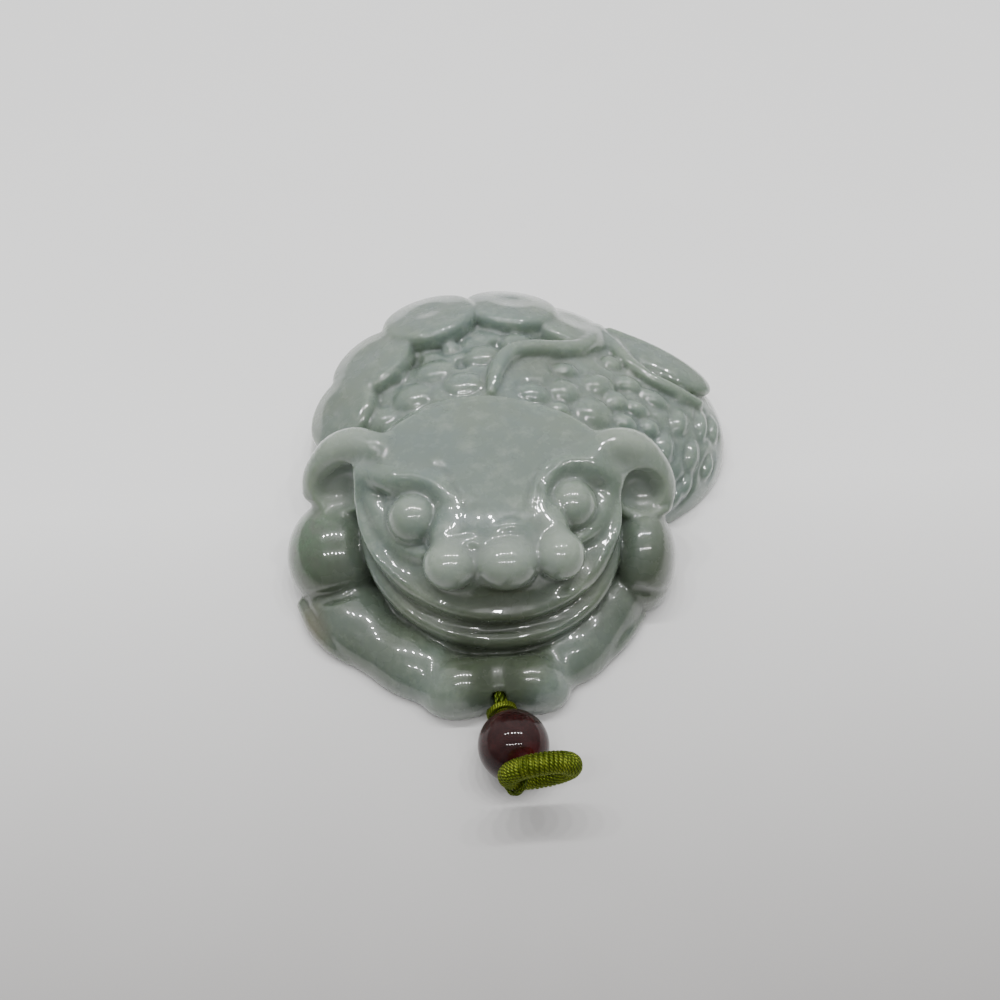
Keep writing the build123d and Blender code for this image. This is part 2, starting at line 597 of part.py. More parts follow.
with BuildPart() as neck_binding:
    with Locations(Plane(origin=loop_front + bead_way * binding_start, z_dir=bead_way)):
        Cylinder(binding_outer_radius, binding_length, align=on_end)
    fillet(neck_binding.edges(), binding_rounding)
    with Locations(Plane(origin=loop_front + bead_way * binding_start, z_dir=bead_way)):
        Hole(binding_inner_radius)

with BuildPart() as bead:
    with Locations(Plane(origin=bead_centre, z_dir=bead_way)):
        Sphere(bead_radius)
        Cylinder(bead_bore_radius, bead_bore_length, mode=Mode.SUBTRACT)

with BuildPart() as wound_eye:
    with BuildLine(eye_plane) as eye_path:
        EllipticalCenterArc((0, 0), eye_half_length, eye_half_width, arc_size=360)
    with BuildSketch(Plane(origin=eye_path.line @ 0, z_dir=eye_path.line % 0)):
        Circle(eye_tube_radius)
    sweep(path=eye_path.line)

toad_carving.part.label = "toad_carving"
export_step(toad_carving.part, "parts/toad_carving.step")
hanging_thread.part.label = "hanging_thread"
export_step(hanging_thread.part, "parts/hanging_thread.step")
neck_binding.part.label = "neck_binding"
export_step(neck_binding.part, "parts/neck_binding.step")
bead.part.label = "bead"
export_step(bead.part, "parts/bead.step")
wound_eye.part.label = "wound_eye"
export_step(wound_eye.part, "parts/wound_eye.step")
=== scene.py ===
import math

import bmesh
import bpy
import numpy as np
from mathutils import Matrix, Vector


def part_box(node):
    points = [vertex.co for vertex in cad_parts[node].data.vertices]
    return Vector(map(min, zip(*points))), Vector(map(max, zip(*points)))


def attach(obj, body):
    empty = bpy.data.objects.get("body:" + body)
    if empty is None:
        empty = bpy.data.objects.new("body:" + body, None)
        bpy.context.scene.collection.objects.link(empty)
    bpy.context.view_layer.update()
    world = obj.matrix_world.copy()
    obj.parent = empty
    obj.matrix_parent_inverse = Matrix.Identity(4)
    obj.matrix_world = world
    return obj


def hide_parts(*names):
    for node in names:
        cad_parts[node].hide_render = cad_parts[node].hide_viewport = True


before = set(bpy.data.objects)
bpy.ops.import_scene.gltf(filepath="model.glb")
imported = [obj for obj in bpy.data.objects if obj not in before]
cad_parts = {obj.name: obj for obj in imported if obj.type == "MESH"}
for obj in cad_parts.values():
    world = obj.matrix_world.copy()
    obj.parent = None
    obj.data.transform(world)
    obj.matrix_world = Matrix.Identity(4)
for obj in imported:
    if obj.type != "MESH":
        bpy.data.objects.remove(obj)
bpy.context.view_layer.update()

# The carving: one piece of pale jadeite, flat below, cut with small wheels and burrs and polished by hand.
# Its forms are worked as one field of distances to the surface, in millimetres, and the surface is drawn
# through the field. The toad faces -Y and lies on its flat underside at Z = 0.
MM = 0.001
field_step = 0.3
field_low = np.array([-27.0, -27.0, -1.05])
field_high = np.array([33.0, 37.0, 20.7])
field_far = 6.0
counts = np.ceil((field_high - field_low) / field_step).astype(int) + 1
axes = [(field_low[i] + field_step * np.arange(counts[i])).astype(np.float32) for i in range(3)]
field = np.full(counts, field_far, np.float32)

# domed back, full right flank, chest: x, y, z, half sizes wide, long, high, then turn, tilt, lean, blend
body_forms = [
    (0.5, 11.5, 0.5, 22.0, 23.0, 14.6, 0, 0, 0, 1.0),
    (12.9, 12.2, 0.5, 17.4, 14.4, 11.0, 0, 0, 0, 3.0),
    (0.6, -8.0, 1.0, 14.0, 13.0, 2.6, 0, 0, 0, 1.0),
]

# warts, seated on the back: x, y, wide, long, turn
warts = [
    (-5.6, 12.8, 2.6, 2.1, 10),
    (-2.2, 10.2, 2.7, 2.1, 0),
    (0.2, 14.8, 2.4, 2.0, 15),
    (-8.2, 9.6, 2.7, 2.2, 10),
    (-12.4, 7.8, 2.8, 2.1, 0),
    (4.6, 17.4, 2.2, 1.8, 0),
    (-3.4, 16.6, 1.4, 1.2, 0),
    (-9.6, 13.2, 1.2, 1.2, 0),
    (-6.0, 6.4, 2.0, 1.6, 0),
    (-10.0, 5.6, 2.0, 1.5, 0),
    (5.8, 8.6, 2.2, 1.7, -15),
    (9.5, 9.5, 2.3, 1.9, -10),
    (12.7, 7.0, 2.7, 2.2, -10),
    (13.7, 11.3, 2.3, 1.9, 0),
    (8.6, 6.6, 1.5, 1.2, 0),
    (9.9, 12.8, 1.9, 1.3, 0),
    (15.6, 9.2, 1.7, 1.6, 0),
    (18.0, 8.6, 1.9, 1.2, -20),
    (16.4, 6.4, 1.8, 1.3, -20),
    (19.4, 6.4, 1.5, 1.3, -20),
    (17.6, 12.2, 1.9, 1.4, -25),
    (15.8, 15.6, 1.6, 1.5, -20),
    (20.4, 10.6, 2.4, 1.3, -30),
    (14.2, 3.8, 1.8, 1.5, 0),
]

# scales down the right flank, long ways downhill, columns as the warts
scales = [
    (23.8, 12.2, 1.7, 1.9, -30),
    (23.2, 8.0, 1.5, 2.2, -10),
    (20.9, 4.4, 1.6, 2.3, 0),
    (24.4, 4.6, 1.3, 2.3, 5),
    (22.0, 0.6, 1.2, 2.1, 5),
    (26.2, 8.8, 1.2, 2.5, 0),
    (28.0, 9.4, 1.1, 2.3, 5),
    (18.4, 2.4, 1.3, 1.8, 0),
    (23.4, 1.8, 1.0, 1.9, 10),
    (26.6, 4.6, 1.0, 2.0, 10),
    (19.6, -0.4, 1.1, 1.9, 5),
]
seat_depth = 0.5
moat_width = 0.7
moat_depth = 0.6
moat_blend = 0.4
wart_rise = 0.45
wart_high = 1.5
wart_blend = 0.25

# pits drilled between the warts: x, y, wide, long, deep, turn
pits = [
    (2.2, 16.6, 1.6, 1.0, 1.0, 25),
    (7.6, 18.0, 1.4, 1.0, 1.1, 0),
    (11.6, 18.6, 1.3, 1.0, 1.1, 20),
    (-2.0, 13.6, 1.3, 1.0, 0.9, 30),
    (-7.8, 15.0, 1.4, 1.0, 0.9, 30),
    (16.2, 10.9, 1.0, 1.2, 0.9, 0),
    (9.8, 8.9, 1.3, 0.9, 0.8, -30),
    (14.6, 8.4, 0.9, 1.1, 0.8, 0),
]
pit_lift = 0.2
pit_blend = 0.4

# coin discs along the left and rear edge: x, y, wide, long, high, lift, turn
coins = [
    (-16.0, 10.6, 4.8, 5.2, 1.3, 0.6, -10),
    (-12.6, 16.6, 5.4, 5.6, 1.3, 0.5, -20),
    (11.6, 22.2, 5.4, 5.6, 1.2, 0.1, 10),
    (4.2, 24.0, 5.9, 5.6, 1.3, 0.5, 0),
    (-5.6, 22.0, 5.9, 5.8, 1.3, 0.9, 20),
]
coin_edge = 1.0
coin_drop = 0.5
coin_blend = 0.25
dish_depth = 0.22
dish_rim = 1.3

# the long leaf, seated as the coins
leaves = [
    (21.0, 18.6, 8.6, 4.0, 2.2, -0.6, -32),
]

# raised vine lines seated on the back: x, y, radius of each point
vines = [
    [(0.9, 8.4, 0.5), (1.5, 10.6, 0.9), (2.4, 12.9, 1.1), (4.0, 14.7, 1.15), (6.2, 15.4, 1.15),
     (9.2, 15.8, 1.15), (12.2, 16.9, 1.2), (14.0, 19.6, 1.2), (14.8, 22.4, 1.3)],
    [(14.8, 21.4, 1.2), (16.4, 18.8, 1.0), (17.8, 15.8, 0.9), (19.8, 13.6, 0.8), (22.8, 12.2, 0.8),
     (26.0, 11.6, 0.6)],
]
leaf_rib = [(16.0, 21.4, 0.5), (18.6, 20.0, 0.6), (21.6, 18.2, 0.6), (24.2, 16.4, 0.5), (26.2, 14.8, 0.4)]
leaf_rib_lift = 1.2
vine_lift = 0.2
vine_blend = 0.4

# shoulders, forearms and the paws that meet in the front collar, columns as the body
arm_forms = [
    (-15.4, -11.8, 1.0, 4.4, 7.4, 3.8, 38, 0, 0, 0.8),
    (-9.4, -17.4, 1.0, 4.0, 6.6, 3.6, 56, 0, 0, 1.2),
    (12.6, -12.2, 1.0, 3.6, 6.2, 4.1, -34, 0, 0, 0.8),
    (8.0, -16.9, 1.0, 4.0, 5.8, 3.6, -56, 0, 0, 1.2),
    (-3.4, -21.4, 1.4, 4.8, 2.9, 3.5, 16, 0, 0, 1.8),
    (2.6, -21.4, 1.4, 4.6, 2.8, 3.5, -16, 0, 0, 1.8),
    (-17.4, -4.2, 3.0, 5.6, 6.6, 6.0, -4, 0, 0, 0.3),
    (16.6, -7.2, 3.0, 4.0, 6.0, 6.6, -6, 0, 0, 0.3),
]

# knuckles of the two paws, then the saddle between them and the flared mouth of the cord hole, cut away
knuckles = [
    (-4.2, -21.4, 3.0, 2.4, 2.4, 2.3, 16, 0, 0, 1.2),
    (3.2, -21.6, 3.0, 2.3, 2.3, 2.3, -16, 0, 0, 1.2),
]
paw_hollows = [
    (-0.5, -22.2, 6.2, 1.5, 3.4, 2.0, 0, 0, 0, 1.2),
    (-0.45, -24.5, 2.6, 1.15, 0.8, 1.15, 0, 0, 0, 0.4),
]

# rolls and grooves: the width of their blend, then points of x, y, z, radius
elbow_grooves = [
    (0.4, [(-23.6, -8.0, 2.4, 0.5), (-21.4, -10.2, 3.6, 0.7), (-18.6, -11.0, 4.6, 0.8),
           (-15.4, -10.8, 5.4, 0.8), (-13.4, -10.4, 6.0, 0.8)]),
    (0.4, [(20.2, -11.6, 3.0, 0.5), (17.8, -13.2, 4.4, 0.7), (15.2, -13.2, 5.4, 0.8),
           (13.0, -12.8, 6.0, 0.8)]),
]
outer_toes = [
    (0.15, [(-21.0, -9.6, 1.2, 1.0), (-19.4, -12.2, 1.3, 1.5), (-17.6, -14.4, 1.2, 1.5),
            (-16.0, -16.0, 0.8, 1.1)]),
    (0.15, [(15.6, -13.2, 1.0, 1.0), (13.5, -15.4, 1.1, 1.4), (11.6, -17.2, 1.0, 1.4),
            (9.8, -18.6, 0.7, 1.1)]),
]

# roots of the ears, then the head: skull, cheeks, snout, chin
ear_roots = [
    (-15.2, 0.8, 9.5, 5.2, 3.6, 4.8, 0, 0, 0, 1.0),
    (-13.2, -1.2, 11.5, 2.6, 3.0, 3.6, 0, 0, 0, 1.0),
    (15.2, -1.8, 9.5, 5.2, 3.6, 4.8, 0, 0, 0, 1.0),
    (13.0, -2.8, 11.5, 2.4, 2.6, 3.6, 0, 0, 0, 1.0),
]
head_forms = [
    (0.0, -5.5, 7.5, 13.2, 11.0, 8.6, 0, 0, 0, 0.5),
    (0.0, -4.4, 11.6, 12.9, 8.0, 4.0, -6, 0, 0, 1.0),
    (0.6, -8.8, 11.8, 6.6, 6.0, 4.2, 0, 0, 0, 2.0),
    (0.0, -6.5, 3.6, 12.8, 11.8, 3.2, 0, 0, 0, 0.6),
]

# lower lip, upper lip, and the smooth top plate of the head: x, y, z, wide, long, high, turn, tilt, lean,
# edge radius, drop from middle to edge, blend
head_plates = [
    (-0.1, -5.9, 7.9, 14.3, 13.0, 1.3, -20, 14, 4.3, 1.0, 0.0, 0.3),
    (-0.3, -5.0, 11.5, 14.3, 12.6, 1.3, -20, 16, 4.2, 0.4, 0.0, 0.8),
    (0.3, -0.8, 13.4, 12.0, 7.0, 3.4, -4, 3, 0, 0.8, 0.6, 1.2),
]

# brow rolls round the eyes and the cross roll of the snout
brow_rolls = [
    (1.0, [(-13.0, -1.9, 14.2, 1.0), (-11.2, -3.0, 14.7, 1.4), (-9.2, -4.0, 14.9, 1.6),
           (-7.2, -4.9, 14.8, 2.0), (-5.4, -6.0, 14.5, 2.2), (-4.4, -7.8, 14.0, 2.0),
           (-4.4, -9.8, 13.5, 1.7)]),
    (1.0, [(12.9, -4.4, 13.4, 1.0), (12.2, -3.6, 14.4, 1.3), (10.6, -3.2, 14.9, 1.6), (8.4, -3.7, 15.1, 1.9),
           (6.4, -5.2, 14.8, 2.0), (5.3, -7.2, 14.3, 1.9), (5.2, -9.2, 13.6, 1.6)]),
    (0.3, [(-0.8, -11.2, 15.0, 0.5), (0.4, -11.0, 15.3, 0.7), (1.8, -10.8, 15.4, 0.7),
           (3.4, -10.9, 15.0, 0.5)]),
    (0.3, [(-3.8, -11.8, 14.4, 0.5), (-2.6, -11.9, 14.7, 0.7), (-1.4, -12.2, 14.6, 0.6)]),
]

# fine engraved lines inside the brows
brow_lines = [
    (0.15, [(6.8, -2.7, 16.85, 0.24), (5.9, -3.2, 16.75, 0.3), (5.1, -4.3, 16.72, 0.34),
            (4.4, -5.5, 16.6, 0.34), (3.8, -7.2, 16.4, 0.32), (3.4, -8.7, 16.25, 0.2)]),
    (0.15, [(7.1, -3.6, 17.05, 0.24), (6.4, -4.1, 16.95, 0.3), (5.6, -5.0, 16.82, 0.34),
            (5.0, -6.4, 16.6, 0.34), (4.7, -7.6, 16.4, 0.32), (4.3, -9.2, 15.95, 0.2)]),
    (0.15, [(-6.2, -2.8, 16.55, 0.2), (-5.2, -3.2, 16.52, 0.28), (-4.3, -4.4, 16.6, 0.32),
            (-3.7, -6.0, 16.6, 0.32), (-3.1, -7.2, 16.4, 0.3), (-3.0, -8.6, 16.15, 0.2)]),
]

# eye sockets and the hollows over the upper lip, cut away
face_hollows = [
    (-9.0, -8.0, 15.6, 3.5, 3.4, 2.1, 25, 30, -20, 1.2),
    (9.0, -7.2, 15.8, 3.3, 3.3, 2.1, -25, 30, 20, 1.2),
    (-10.2, -14.4, 12.6, 4.6, 3.2, 2.4, 50, 20, 0, 2.4),
    (11.0, -13.4, 12.6, 4.6, 3.2, 2.4, -50, 20, 0, 2.4),
    (0.8, -18.8, 10.9, 9.5, 3.7, 2.5, 0, 0, 0, 0.6),
]
lids = [
    (0.7, [(-12.8, -2.6, 13.2, 0.8), (-12.6, -4.2, 12.8, 0.8), (-11.9, -6.2, 12.2, 0.8),
           (-10.9, -8.2, 11.6, 0.8), (-9.2, -9.7, 11.2, 0.8), (-7.6, -10.8, 11.4, 0.7)]),
    (0.7, [(12.7, -3.6, 13.4, 0.7), (12.4, -5.4, 12.8, 0.8), (11.4, -7.4, 12.2, 0.8), (10.0, -9.2, 11.6, 0.8),
           (8.4, -10.4, 11.6, 0.6)]),
]

# three-lobed nose with its two bridges, then the eyeballs
nose_and_eyes = [
    (-4.8, -10.2, 13.4, 1.6, 3.6, 2.2, 0, 0, 0, 1.0),
    (6.1, -9.8, 13.4, 1.6, 3.6, 2.2, 0, 0, 0, 1.0),
    (-4.7, -13.3, 12.9, 2.8, 2.7, 2.5, 0, 0, 0, 0.7),
    (6.5, -13.0, 13.1, 2.6, 2.7, 2.5, 0, 0, 0, 0.7),
    (1.0, -13.8, 13.2, 3.2, 2.7, 2.6, 0, 0, 0, 0.7),
    (-8.2, -7.4, 13.1, 2.8, 2.8, 2.7, 0, 0, 0, 0.25),
    (8.3, -6.8, 13.3, 2.7, 2.8, 2.7, 0, 0, 0, 0.25),
]

# slit of the mouth, under the edge of the upper lip
mouth_groove = [
    (0.2, [(-13.9, -7.0, 9.2, 0.3), (-12.6, -9.6, 8.5, 0.4), (-11.4, -11.7, 8.0, 0.45),
           (-9.2, -14.3, 7.3, 0.45), (-7.2, -16.0, 6.9, 0.45), (-4.2, -17.0, 6.7, 0.45),
           (-0.6, -17.5, 6.6, 0.45), (3.3, -17.4, 6.7, 0.45), (7.3, -16.6, 6.9, 0.45),
           (10.2, -14.6, 7.5, 0.45), (12.2, -12.2, 8.3, 0.4), (13.1, -9.6, 9.3, 0.3)]),
]

# hollows of the ears, cut away, then the folded rims over them
ear_hollows = [
    (-17.2, -1.9, 12.4, 3.5, 2.8, 3.6, 25, -20, 0, 0.3),
    (16.7, -4.7, 12.0, 2.9, 2.8, 2.8, 0, -10, 0, 0.3),
]
ear_rims = [
    (1.0, [(-12.2, 0.8, 15.0, 1.9), (-14.4, 1.9, 14.6, 2.0), (-16.8, 1.9, 13.5, 1.8), (-18.9, 1.1, 11.4, 1.2),
           (-19.9, 0.1, 9.0, 0.7)]),
    (1.0, [(11.0, -1.6, 15.0, 1.8), (13.2, -0.6, 14.9, 2.1), (15.8, -0.3, 14.0, 2.1), (18.2, -1.2, 12.2, 1.5),
           (19.5, -2.8, 10.0, 0.9), (19.4, -4.2, 8.6, 0.7)]),
    (0.3, [(13.6, -4.8, 10.0, 0.5), (15.2, -5.4, 9.2, 0.5), (17.4, -5.5, 8.9, 0.5), (19.2, -4.8, 8.9, 0.5)]),
]

# cord hole, drilled from the front face and from the underside, and the thread's groove
hole_radius = 0.8
hole_x = -0.45
hole_z = 2.6
hole_end_y = -21.5
hole_mouth_y = -26.0
groove_width = 1.3
groove_depth = 1.0
groove_front_y = -23.5
drill_blend = 0.15
drill_low = -1.0


def turned(turn, tilt, lean):
    """Axes of a form turned about Z, tilted about its own X and leant about its own Y."""
    a, b, c = math.radians(turn), math.radians(tilt), math.radians(lean)
    about_z = np.array([[math.cos(a), -math.sin(a), 0], [math.sin(a), math.cos(a), 0], [0, 0, 1]])
    about_x = np.array([[1, 0, 0], [0, math.cos(b), -math.sin(b)], [0, math.sin(b), math.cos(b)]])
    about_y = np.array([[math.cos(c), 0, math.sin(c)], [0, 1, 0], [-math.sin(c), 0, math.cos(c)]])
    return about_z @ about_x @ about_y


def corner(low, high):
    """The slices of the grid between two corners, and its X, Y and Z there."""
    part = []
    for i in range(3):
        first = max(0, int((low[i] - field_low[i]) / field_step))
        last = min(counts[i], int((high[i] - field_low[i]) / field_step) + 2)
        part.append(slice(first, max(last, first)))
    x = axes[0][part[0]][:, None, None]
    y = axes[1][part[1]][None, :, None]
    z = axes[2][part[2]][None, None, :]
    return tuple(part), x, y, z


def work(part, distance, blend, cut):
    """Add a form to the field, or cut it away, with a rounded blend."""
    old = -field[part] if cut else field[part]
    near = np.maximum(blend - np.abs(old - distance), 0) / blend
    new = np.minimum(old, distance) - near * near * blend / 4
    field[part] = -new if cut else new


def own_axes(place, way, x, y, z):
    """How far points lie from a place along a form's own axes."""
    off = (x - place[0], y - place[1], z - place[2])
    return [way[0, i] * off[0] + way[1, i] * off[1] + way[2, i] * off[2] for i in range(3)]


def oval(place, half, way, blend, cut=False):
    """An oval lump or hollow."""
    reach = max(half) + blend + 2 * field_step
    part, x, y, z = corner(place - reach, place + reach)
    own = own_axes(place, way, x, y, z)
    share = np.sqrt(sum((own[i] / half[i]) ** 2 for i in range(3))) + 1e-6
    slope = np.sqrt(sum((own[i] / half[i] ** 2) ** 2 for i in range(3))) + 1e-6
    work(part, share * (share - 1) / slope, blend, cut)


def disc(place, half, way, edge, drop, blend):
    """A flat disc with a rounded edge, whose faces bend down by a drop from the middle to the edge."""
    reach = max(half) + blend + 2 * field_step
    part, x, y, z = corner(place - reach, place + reach)
    own = own_axes(place, way, x, y, z)
    core = (half[0] - edge, half[1] - edge)
    share = np.sqrt((own[0] / core[0]) ** 2 + (own[1] / core[1]) ** 2) + 1e-6
    slope = np.sqrt((own[0] / core[0] ** 2) ** 2 + (own[1] / core[1] ** 2) ** 2) + 1e-6
    side = share * (share - 1) / slope
    top = np.abs(own[2] + drop * np.minimum(share, 1) ** 2) - (half[2] - edge)
    outside = np.sqrt(np.maximum(side, 0) ** 2 + np.maximum(top, 0) ** 2)
    work(part, outside + np.minimum(np.maximum(side, top), 0) - edge, blend, False)


def block(low, high, blend):
    """A square-cornered slot, cut away."""
    middle, half = (low + high) / 2, (high - low) / 2
    part, x, y, z = corner(low - 1, high + 1)
    past = [np.abs(axis - middle[i]) - half[i] for i, axis in enumerate((x, y, z))]
    outside = np.sqrt(sum(np.maximum(p, 0) ** 2 for p in past))
    inside = np.minimum(np.maximum(np.maximum(past[0], past[1]), past[2]), 0)
    work(part, outside + inside, blend, True)


def smooth_line(points, spans=4):
    """The points of a smooth curve through the given ones, with their radii."""
    p = np.array(points, float)
    p = np.vstack([2 * p[0] - p[1], p, 2 * p[-1] - p[-2]])
    line = []
    for a, b, c, d in zip(p[:-3], p[1:-2], p[2:-1], p[3:]):
        for t in np.arange(spans) / spans:
            bend = (2 * a - 5 * b + 4 * c - d) * t ** 2 + (3 * b - a - 3 * c + d) * t ** 3
            line.append((2 * b + (c - a) * t + bend) / 2)
    line.append(p[-2])
    return np.array(line)


def roll(points, blend, cut=False):
    """A round roll or groove along a smooth line of x, y, z, radius."""
    line = smooth_line(points)
    reach = line[:, 3].max() + blend + 2 * field_step
    part, x, y, z = corner(line[:, :3].min(0) - reach, line[:, :3].max(0) + reach)
    nearest = np.full((x + y + z).shape, np.inf, np.float32)
    for a, b in zip(line[:-1], line[1:]):
        way = b[:3] - a[:3]
        share = ((x - a[0]) * way[0] + (y - a[1]) * way[1] + (z - a[2]) * way[2]) / (way @ way)
        share = np.clip(share, 0, 1)
        gap = np.sqrt((x - a[0] - share * way[0]) ** 2 + (y - a[1] - share * way[1]) ** 2
                      + (z - a[2] - share * way[2]) ** 2)
        nearest = np.minimum(nearest, gap - a[3] - share * (b[3] - a[3]))
    work(part, nearest, blend, cut)


def sample(grid, points):
    """The grid's values at points between its own."""
    place = (points - field_low) / field_step
    first = np.clip(np.floor(place).astype(int), 0, counts - 2)
    u, v, w = (place - first).T
    i, j, k = first.T
    near = grid[i, j, k] * (1 - u) + grid[i + 1, j, k] * u
    far = grid[i, j + 1, k] * (1 - u) + grid[i + 1, j + 1, k] * u
    near_up = grid[i, j, k + 1] * (1 - u) + grid[i + 1, j, k + 1] * u
    far_up = grid[i, j + 1, k + 1] * (1 - u) + grid[i + 1, j + 1, k + 1] * u
    return (near * (1 - v) + far * v) * (1 - w) + (near_up * (1 - v) + far_up * v) * w


def straight_out(grid, points):
    """The way straight out of the surface at points."""
    steps = field_step * np.eye(3)
    out = np.stack([sample(grid, points + step) - sample(grid, points - step) for step in steps], -1)
    return out / (np.linalg.norm(out, axis=-1, keepdims=True) + 1e-9)


def seat(x, y, lift, turn):
    """The place lifted off the bare back over x, y, and the axes there, the third one straight out."""
    column = np.array([(x, y, z) for z in axes[2]])
    values = sample(bare_back, column)
    last = np.max(np.where(values < 0))
    z = axes[2][last] + field_step * values[last] / (values[last] - values[last + 1])
    place = np.array([x, y, z])
    out = straight_out(bare_back, place[None])[0]
    ahead = np.array([-math.sin(math.radians(turn)), math.cos(math.radians(turn)), 0])
    side = np.cross(ahead, out)
    side = side / np.linalg.norm(side)
    return place + lift * out, np.stack([side, np.cross(out, side), out], 1)


def ovals(table, cut=False):
    """The lumps or hollows of a table."""
    for x, y, z, wide, long, high, turn, tilt, lean, blend in table:
        oval(np.array([x, y, z]), (wide, long, high), turned(turn, tilt, lean), blend, cut)


def rolls(table, cut=False):
    """The rolls or grooves of a table."""
    for blend, points in table:
        roll(points, blend, cut)


ovals(body_forms)
bare_back = field.copy()
for x, y, wide, long, turn in warts + scales:
    place, way = seat(x, y, seat_depth, turn)
    oval(place, (wide + moat_width, long + moat_width, seat_depth + moat_depth), way, moat_blend, True)
for x, y, wide, long, deep, turn in pits:
    place, way = seat(x, y, pit_lift, turn)
    oval(place, (wide, long, deep + pit_lift), way, pit_blend, True)
for x, y, wide, long, turn in warts + scales:
    place, way = seat(x, y, wart_rise - wart_high, turn)
    oval(place, (wide, long, wart_high), way, wart_blend)
for x, y, wide, long, high, lift, turn in coins:
    place, way = seat(x, y, lift, turn)
    disc(place, (wide, long, high), way, coin_edge, coin_drop, coin_blend)
    dish = place + way[:, 2] * (2 * high - dish_depth)
    oval(dish, (wide - dish_rim, long - dish_rim, high), way, coin_blend, True)
for x, y, wide, long, high, lift, turn in leaves:
    place, way = seat(x, y, lift, turn)
    oval(place, (wide, long, high), way, coin_blend)
roll([(*seat(x, y, leaf_rib_lift, 0)[0], radius) for x, y, radius in leaf_rib], vine_blend)
for vine in vines:
    roll([(*seat(x, y, vine_lift, 0)[0], radius) for x, y, radius in vine], vine_blend)

ovals(arm_forms)
rolls(elbow_grooves, True)
rolls(outer_toes)
ovals(knuckles)
ovals(paw_hollows, True)
ovals(ear_roots)
ovals(head_forms)
for x, y, z, wide, long, high, turn, tilt, lean, edge, drop, blend in head_plates:
    disc(np.array([x, y, z]), (wide, long, high), turned(turn, tilt, lean), edge, drop, blend)
rolls(brow_rolls)
rolls(brow_lines, True)
ovals(face_hollows, True)
rolls(lids)
ovals(nose_and_eyes)
rolls(mouth_groove, True)
ovals(ear_hollows, True)
rolls(ear_rims)

# the underside is lapped flat, then drilled and grooved for the thread
_, _, _, level = corner(field_low, field_high)
field = np.maximum(field, -level).astype(np.float32)
hole_bend = (hole_x, hole_end_y, hole_z, hole_radius)
roll([(hole_x, hole_mouth_y, hole_z, hole_radius), hole_bend], drill_blend, True)
roll([hole_bend, (hole_x, hole_end_y, drill_low, hole_radius)], drill_blend, True)
groove_low = np.array([hole_x - groove_width / 2, hole_mouth_y, drill_low])
groove_high = np.array([hole_x + groove_width / 2, hole_end_y, groove_depth])
block(groove_low, groove_high, drill_blend)
rim_high = np.array([hole_x + groove_width / 2, groove_front_y, hole_z])
block(groove_low, rim_high, drill_blend)


def drawn_surface(grid):
    """Vertices and quads of the surface through a field, one vertex in each cell that the surface crosses."""
    inside = grid < 0
    cells = np.array(grid.shape) - 1
    corners = [(i, j, k) for i in (0, 1) for j in (0, 1) for k in (0, 1)]
    filled = np.zeros(cells, np.int8)
    for i, j, k in corners:
        filled += inside[i:i + cells[0], j:j + cells[1], k:k + cells[2]]
    crossed = np.argwhere((filled > 0) & (filled < len(corners)))
    number = np.full(cells, -1)
    number[tuple(crossed.T)] = np.arange(len(crossed))
    total = np.zeros((len(crossed), 3))
    crossings = np.zeros(len(crossed))
    for start in corners:
        for axis in range(3):
            if start[axis]:
                continue
            end = list(start)
            end[axis] = 1
            a = grid[tuple((crossed + start).T)]
            b = grid[tuple((crossed + end).T)]
            crosses = (a < 0) != (b < 0)
            share = np.where(crosses, a / np.where(crosses, a - b, 1), 0)
            place = np.tile(np.array(start, float), (len(crossed), 1))
            place[:, axis] += share
            total += np.where(crosses[:, None], place, 0)
            crossings += crosses
    places = field_low + field_step * (crossed + total / crossings[:, None])
    quads = []
    for axis in range(3):
        one, two = [i for i in range(3) if i != axis]
        near = [slice(None)] * 3
        far = [slice(None)] * 3
        near[axis] = slice(0, -1)
        far[axis] = slice(1, None)
        leaving = inside[tuple(near)] & ~inside[tuple(far)]
        entering = ~inside[tuple(near)] & inside[tuple(far)]
        for edges, backward in ((leaving, axis == 1), (entering, axis != 1)):
            edge = np.argwhere(edges)
            inner = (edge[:, [one, two]] > 0) & (edge[:, [one, two]] < cells[[one, two]])
            edge = edge[inner.all(1)]
            ring = []
            for back_one, back_two in ((1, 1), (0, 1), (0, 0), (1, 0)):
                cell = edge.copy()
                cell[:, one] -= back_one
                cell[:, two] -= back_two
                ring.append(number[tuple(cell.T)])
            quad = np.stack(ring, 1)
            quads.append(quad[:, ::-1] if backward else quad)
    return places, np.vstack(quads)


places, quads = drawn_surface(field)
out = straight_out(field, places)

# hollow is how much of the room over a point is jade, from 0 on open forms to 1 deep in a groove; it paints
# shade into the jade's colour and dulls its gloss
hollow_reaches = ((0.6, 0.45), (1.3, 0.35), (2.6, 0.2))
hollow = 0
for reach, part in hollow_reaches:
    hollow = hollow + part * np.clip(1 - sample(field, places + reach * out) / reach, 0, 1)

# the flat of the underside is one face, so the fine net stops at its rim
flat = 0.02
facing_down = -0.9
on_flat = (np.abs(places[:, 2]) < flat) & (out[:, 2] < facing_down)
quads = quads[~on_flat[quads].all(1)]
kept = np.unique(quads)
renumber = np.full(len(places), -1)
renumber[kept] = np.arange(len(kept))
places, out, hollow, quads = places[kept], out[kept], hollow[kept], renumber[quads]
low_corner, high_corner = (np.array(side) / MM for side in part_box("toad_carving"))
places = np.clip(places, low_corner, high_corner)

